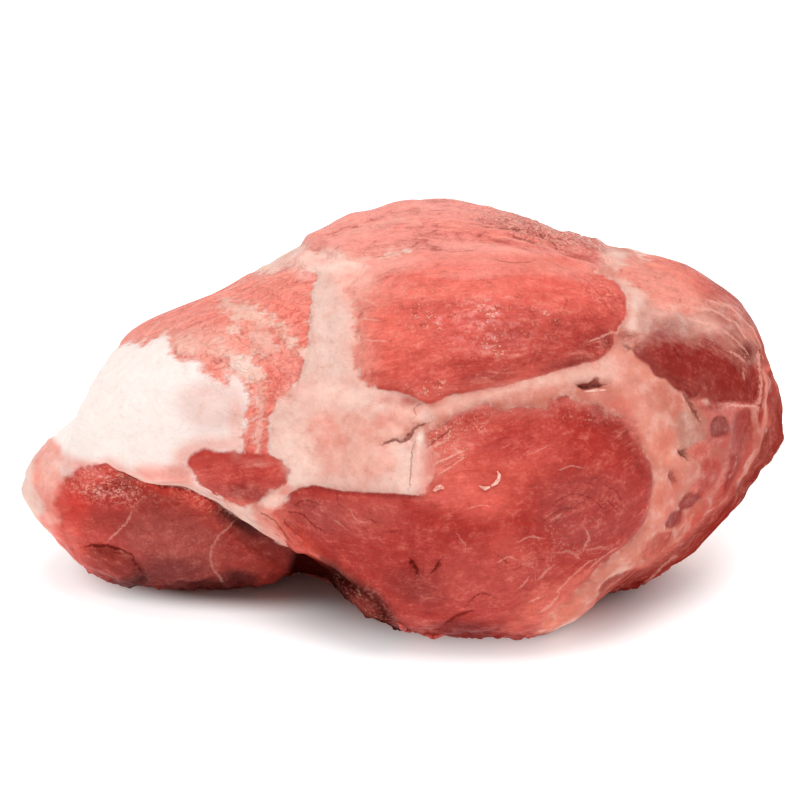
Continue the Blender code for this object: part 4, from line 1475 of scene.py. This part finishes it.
for name, wire in (("Base Color", colour), ("Roughness", rough), ("Normal", bump)):
    tree.links.new(wire.socket, surface.inputs[name])
unlit_inputs = {"Base Color": colour, "Roughness": 1.0, "Specular IOR Level": 0.0, "Normal": bump}
unlit = node(tree, "ShaderNodeBsdfPrincipled", {}, unlit_inputs)
shone = node(tree, "ShaderNodeMixShader", {}, {0: dull, 1: Wire(tree, surface.outputs[0]), 2: unlit})
tree.links.new(shone.socket, tree.nodes["Material Output"].inputs["Surface"])
surface.inputs["IOR"].default_value = 1.4
surface.inputs["Specular IOR Level"].default_value = 0.22
surface.inputs["Subsurface Weight"].default_value = 0.2
surface.inputs["Subsurface Radius"].default_value = (1.0, 0.3, 0.2)
surface.inputs["Subsurface Scale"].default_value = 1.5 * MM
flesh_mesh.materials.append(meat)
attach(flesh, "root")
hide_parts("pork_leg")


# Loose threads and scraps.
# Torn ends of fat, skin between muscles, and shreds of lean lie on the meat where the knife and hand pulled
# it apart. Each is a thin closed strand that follows the skin.
FAT_THREADS = [
    ([(479, 486), (485, 488), (490, 487)], (0.25, 0.7, 0.3), 0.3),
    ([(491, 486), (497, 482), (499, 475), (497, 471)], (0.4, 0.8, 0.6, 0.2), 0.4),
    ([(434, 491), (439, 487), (444, 488)], (0.6, 1.0, 0.5), 0.1),
    ([(584, 392), (596, 391), (606, 390)], (0.3, 0.6, 0.2), 0.0),
]
LEAN_SHREDS = [
    ([(398, 622), (404, 628), (412, 631)], (0.5, 1.3, 0.6), -0.2),
    ([(426, 634), (434, 636), (444, 634)], (0.5, 1.2, 0.6), -0.2),
    ([(284, 522), (292, 532), (304, 542)], (0.4, 0.9, 0.5), 0.1),
]
THREAD_SIDES = 8

skin_tree = BVHTree.FromPolygons(
    [tuple(point) for point in relief], [tuple(polygon.vertices) for polygon in flesh_mesh.polygons]
)


def on_skin(u, v, lift):
    """The point of the skin seen at a pixel, or the nearest one inwards from it, raised by a lift in mm."""
    hit = None
    while hit is None:
        ray = forward + Vector((1, 0, 0)) * ((u - PICTURE / 2) / ZOOM) - upward * ((v - PICTURE / 2) / ZOOM)
        hit, normal, index, distance = skin_tree.ray_cast(camera.location, ray.normalized())
        u += (PICTURE / 2 - u) * 0.005
        v += (PICTURE / 2 - v) * 0.005
    return hit + normal * lift * MM


def add_strands(name, strands_of, tone):
    """A piece of thin closed strands on the skin, and its mottled material."""
    build = bmesh.new()
    for points, radii, lift in strands_of:
        curve = curve_through(points, closed=False, parts=4)
        thickness = np.interp(np.linspace(0, 1, len(curve)), np.linspace(0, 1, len(radii)), radii)
        spine = [on_skin(u, v, lift + 0.3 * radius) for (u, v), radius in zip(curve, thickness)]
        rings = []
        for i, (centre, radius) in enumerate(zip(spine, thickness)):
            run = (spine[min(i + 1, len(spine) - 1)] - spine[max(i - 1, 0)]).normalized()
            side_way = run.cross(forward).normalized()
            up_way = side_way.cross(run)
            ring = []
            for k in range(THREAD_SIDES):
                turn = 2 * math.pi * k / THREAD_SIDES
                rough_radius = radius * (1 + 0.5 * noise.noise(Vector((i * 0.9, k * 0.9, centre.x * 500))))
                spoke = side_way * math.cos(turn) + up_way * math.sin(turn) * 0.7
                spot = centre + spoke * rough_radius * MM
                spot.z = max(spot.z, 0.0)
                ring.append(build.verts.new(spot))
            rings.append(ring)
        for ring, after in zip(rings[:-1], rings[1:]):
            for k in range(THREAD_SIDES):
                beside = (k + 1) % THREAD_SIDES
                build.faces.new((ring[k], ring[beside], after[beside], after[k]))
        build.faces.new(list(reversed(rings[0])))
        build.faces.new(rings[-1])
    bmesh.ops.recalc_face_normals(build, faces=build.faces)
    mesh = bpy.data.meshes.new(name)
    build.to_mesh(mesh)
    build.free()
    for polygon in mesh.polygons:
        polygon.use_smooth = True
    made = bpy.data.objects.new(name, mesh)
    bpy.context.scene.collection.objects.link(made)
    material = bpy.data.materials.new(name)
    material.use_nodes = True
    shader = material.node_tree.nodes["Principled BSDF"]
    spot = brightened(node(material.node_tree, "ShaderNodeTexCoord", {}, {}, "Object"), 1 / MM)
    mottle = noise_on(spot, 0.5, 3.0)
    tone = mixed(ramp(0.4, 0.7, mottle), solid(tone[0]), solid(tone[1]))
    material.node_tree.links.new(tone.socket, shader.inputs["Base Color"])
    shader.inputs["Roughness"].default_value = 0.42
    shader.inputs["Specular IOR Level"].default_value = 0.35
    mesh.materials.append(material)
    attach(made, "root")


add_strands("fat_threads", FAT_THREADS, ((240, 190, 174), (222, 140, 122)))
add_strands("lean_shreds", LEAN_SHREDS, ((206, 78, 64), (160, 44, 36)))


# Floor and light.
# A white light table under a white sky, with one broad soft light high over the left shoulder of the camera.
# The table doesn't glow under the leg, and its colour is darker and warmer there: two ovals of painted
# shade, one for the body and one for the shank, so that the shadow is dark only close to the meat.
FLOOR_REACH = 6.0
TABLE_GLOW = 0.65
SHADES = (((28, -10), (124, 86), 0.48), ((-66, -8), (84, 46), 0.6))
SHADE_RIM = 1.02
SHADED_PAPER = (0.7, 0.5, 0.46, 1)
WHITE_PAPER = (0.65, 0.65, 0.65, 1)
SKY = 0.53
SUN = 2.1
SUN_WIDTH = math.radians(38)
SUN_FROM = Vector((0.08, -0.14, 0.98))

floor_mesh = bpy.data.meshes.new("floor")
corners = [(x * FLOOR_REACH, y * FLOOR_REACH, 0) for x, y in ((-1, -1), (1, -1), (1, 1), (-1, 1))]
floor_mesh.from_pydata(corners, [], [(0, 1, 2, 3)])
floor = bpy.data.objects.new("floor", floor_mesh)
bpy.context.scene.collection.objects.link(floor)
paper = bpy.data.materials.new("paper")
paper.use_nodes = True
paper_surface = paper.node_tree.nodes["Principled BSDF"]
paper_surface.inputs["Roughness"].default_value = 0.9
paper_surface.inputs["Specular IOR Level"].default_value = 0.0
paper_here = node(paper.node_tree, "ShaderNodeTexCoord", {}, {}, "Object")
glow = 1.0
for middle, half, core in SHADES:
    from_middle = added(paper_here, (-middle[0] * MM, -middle[1] * MM, 0))
    from_middle = multiplied(from_middle, (1 / (half[0] * MM), 1 / (half[1] * MM), 0))
    away = node(paper.node_tree, "ShaderNodeVectorMath", {"operation": "LENGTH"}, {0: from_middle}, "Value")
    glow = ramp(core, SHADE_RIM, away) * glow
shade_tone = mixed(glow, SHADED_PAPER, WHITE_PAPER)
paper.node_tree.links.new(shade_tone.socket, paper_surface.inputs["Base Color"])
paper.node_tree.links.new(glow.socket, paper_surface.inputs["Emission Color"])
paper_surface.inputs["Emission Strength"].default_value = TABLE_GLOW
floor_mesh.materials.append(paper)

world = bpy.data.worlds.new("studio")
world.use_nodes = True
world.node_tree.nodes["Background"].inputs["Color"].default_value = (1, 1, 1, 1)
world.node_tree.nodes["Background"].inputs["Strength"].default_value = SKY
bpy.context.scene.world = world

sun = bpy.data.objects.new("sun", bpy.data.lights.new("sun", "SUN"))
sun.data.energy = SUN
sun.data.angle = SUN_WIDTH
sun.rotation_mode = "QUATERNION"
sun.rotation_quaternion = SUN_FROM.to_track_quat("Z", "Y")
sun.location = SUN_FROM
bpy.context.scene.collection.objects.link(sun)
bpy.context.scene.view_settings.view_transform = "Standard"
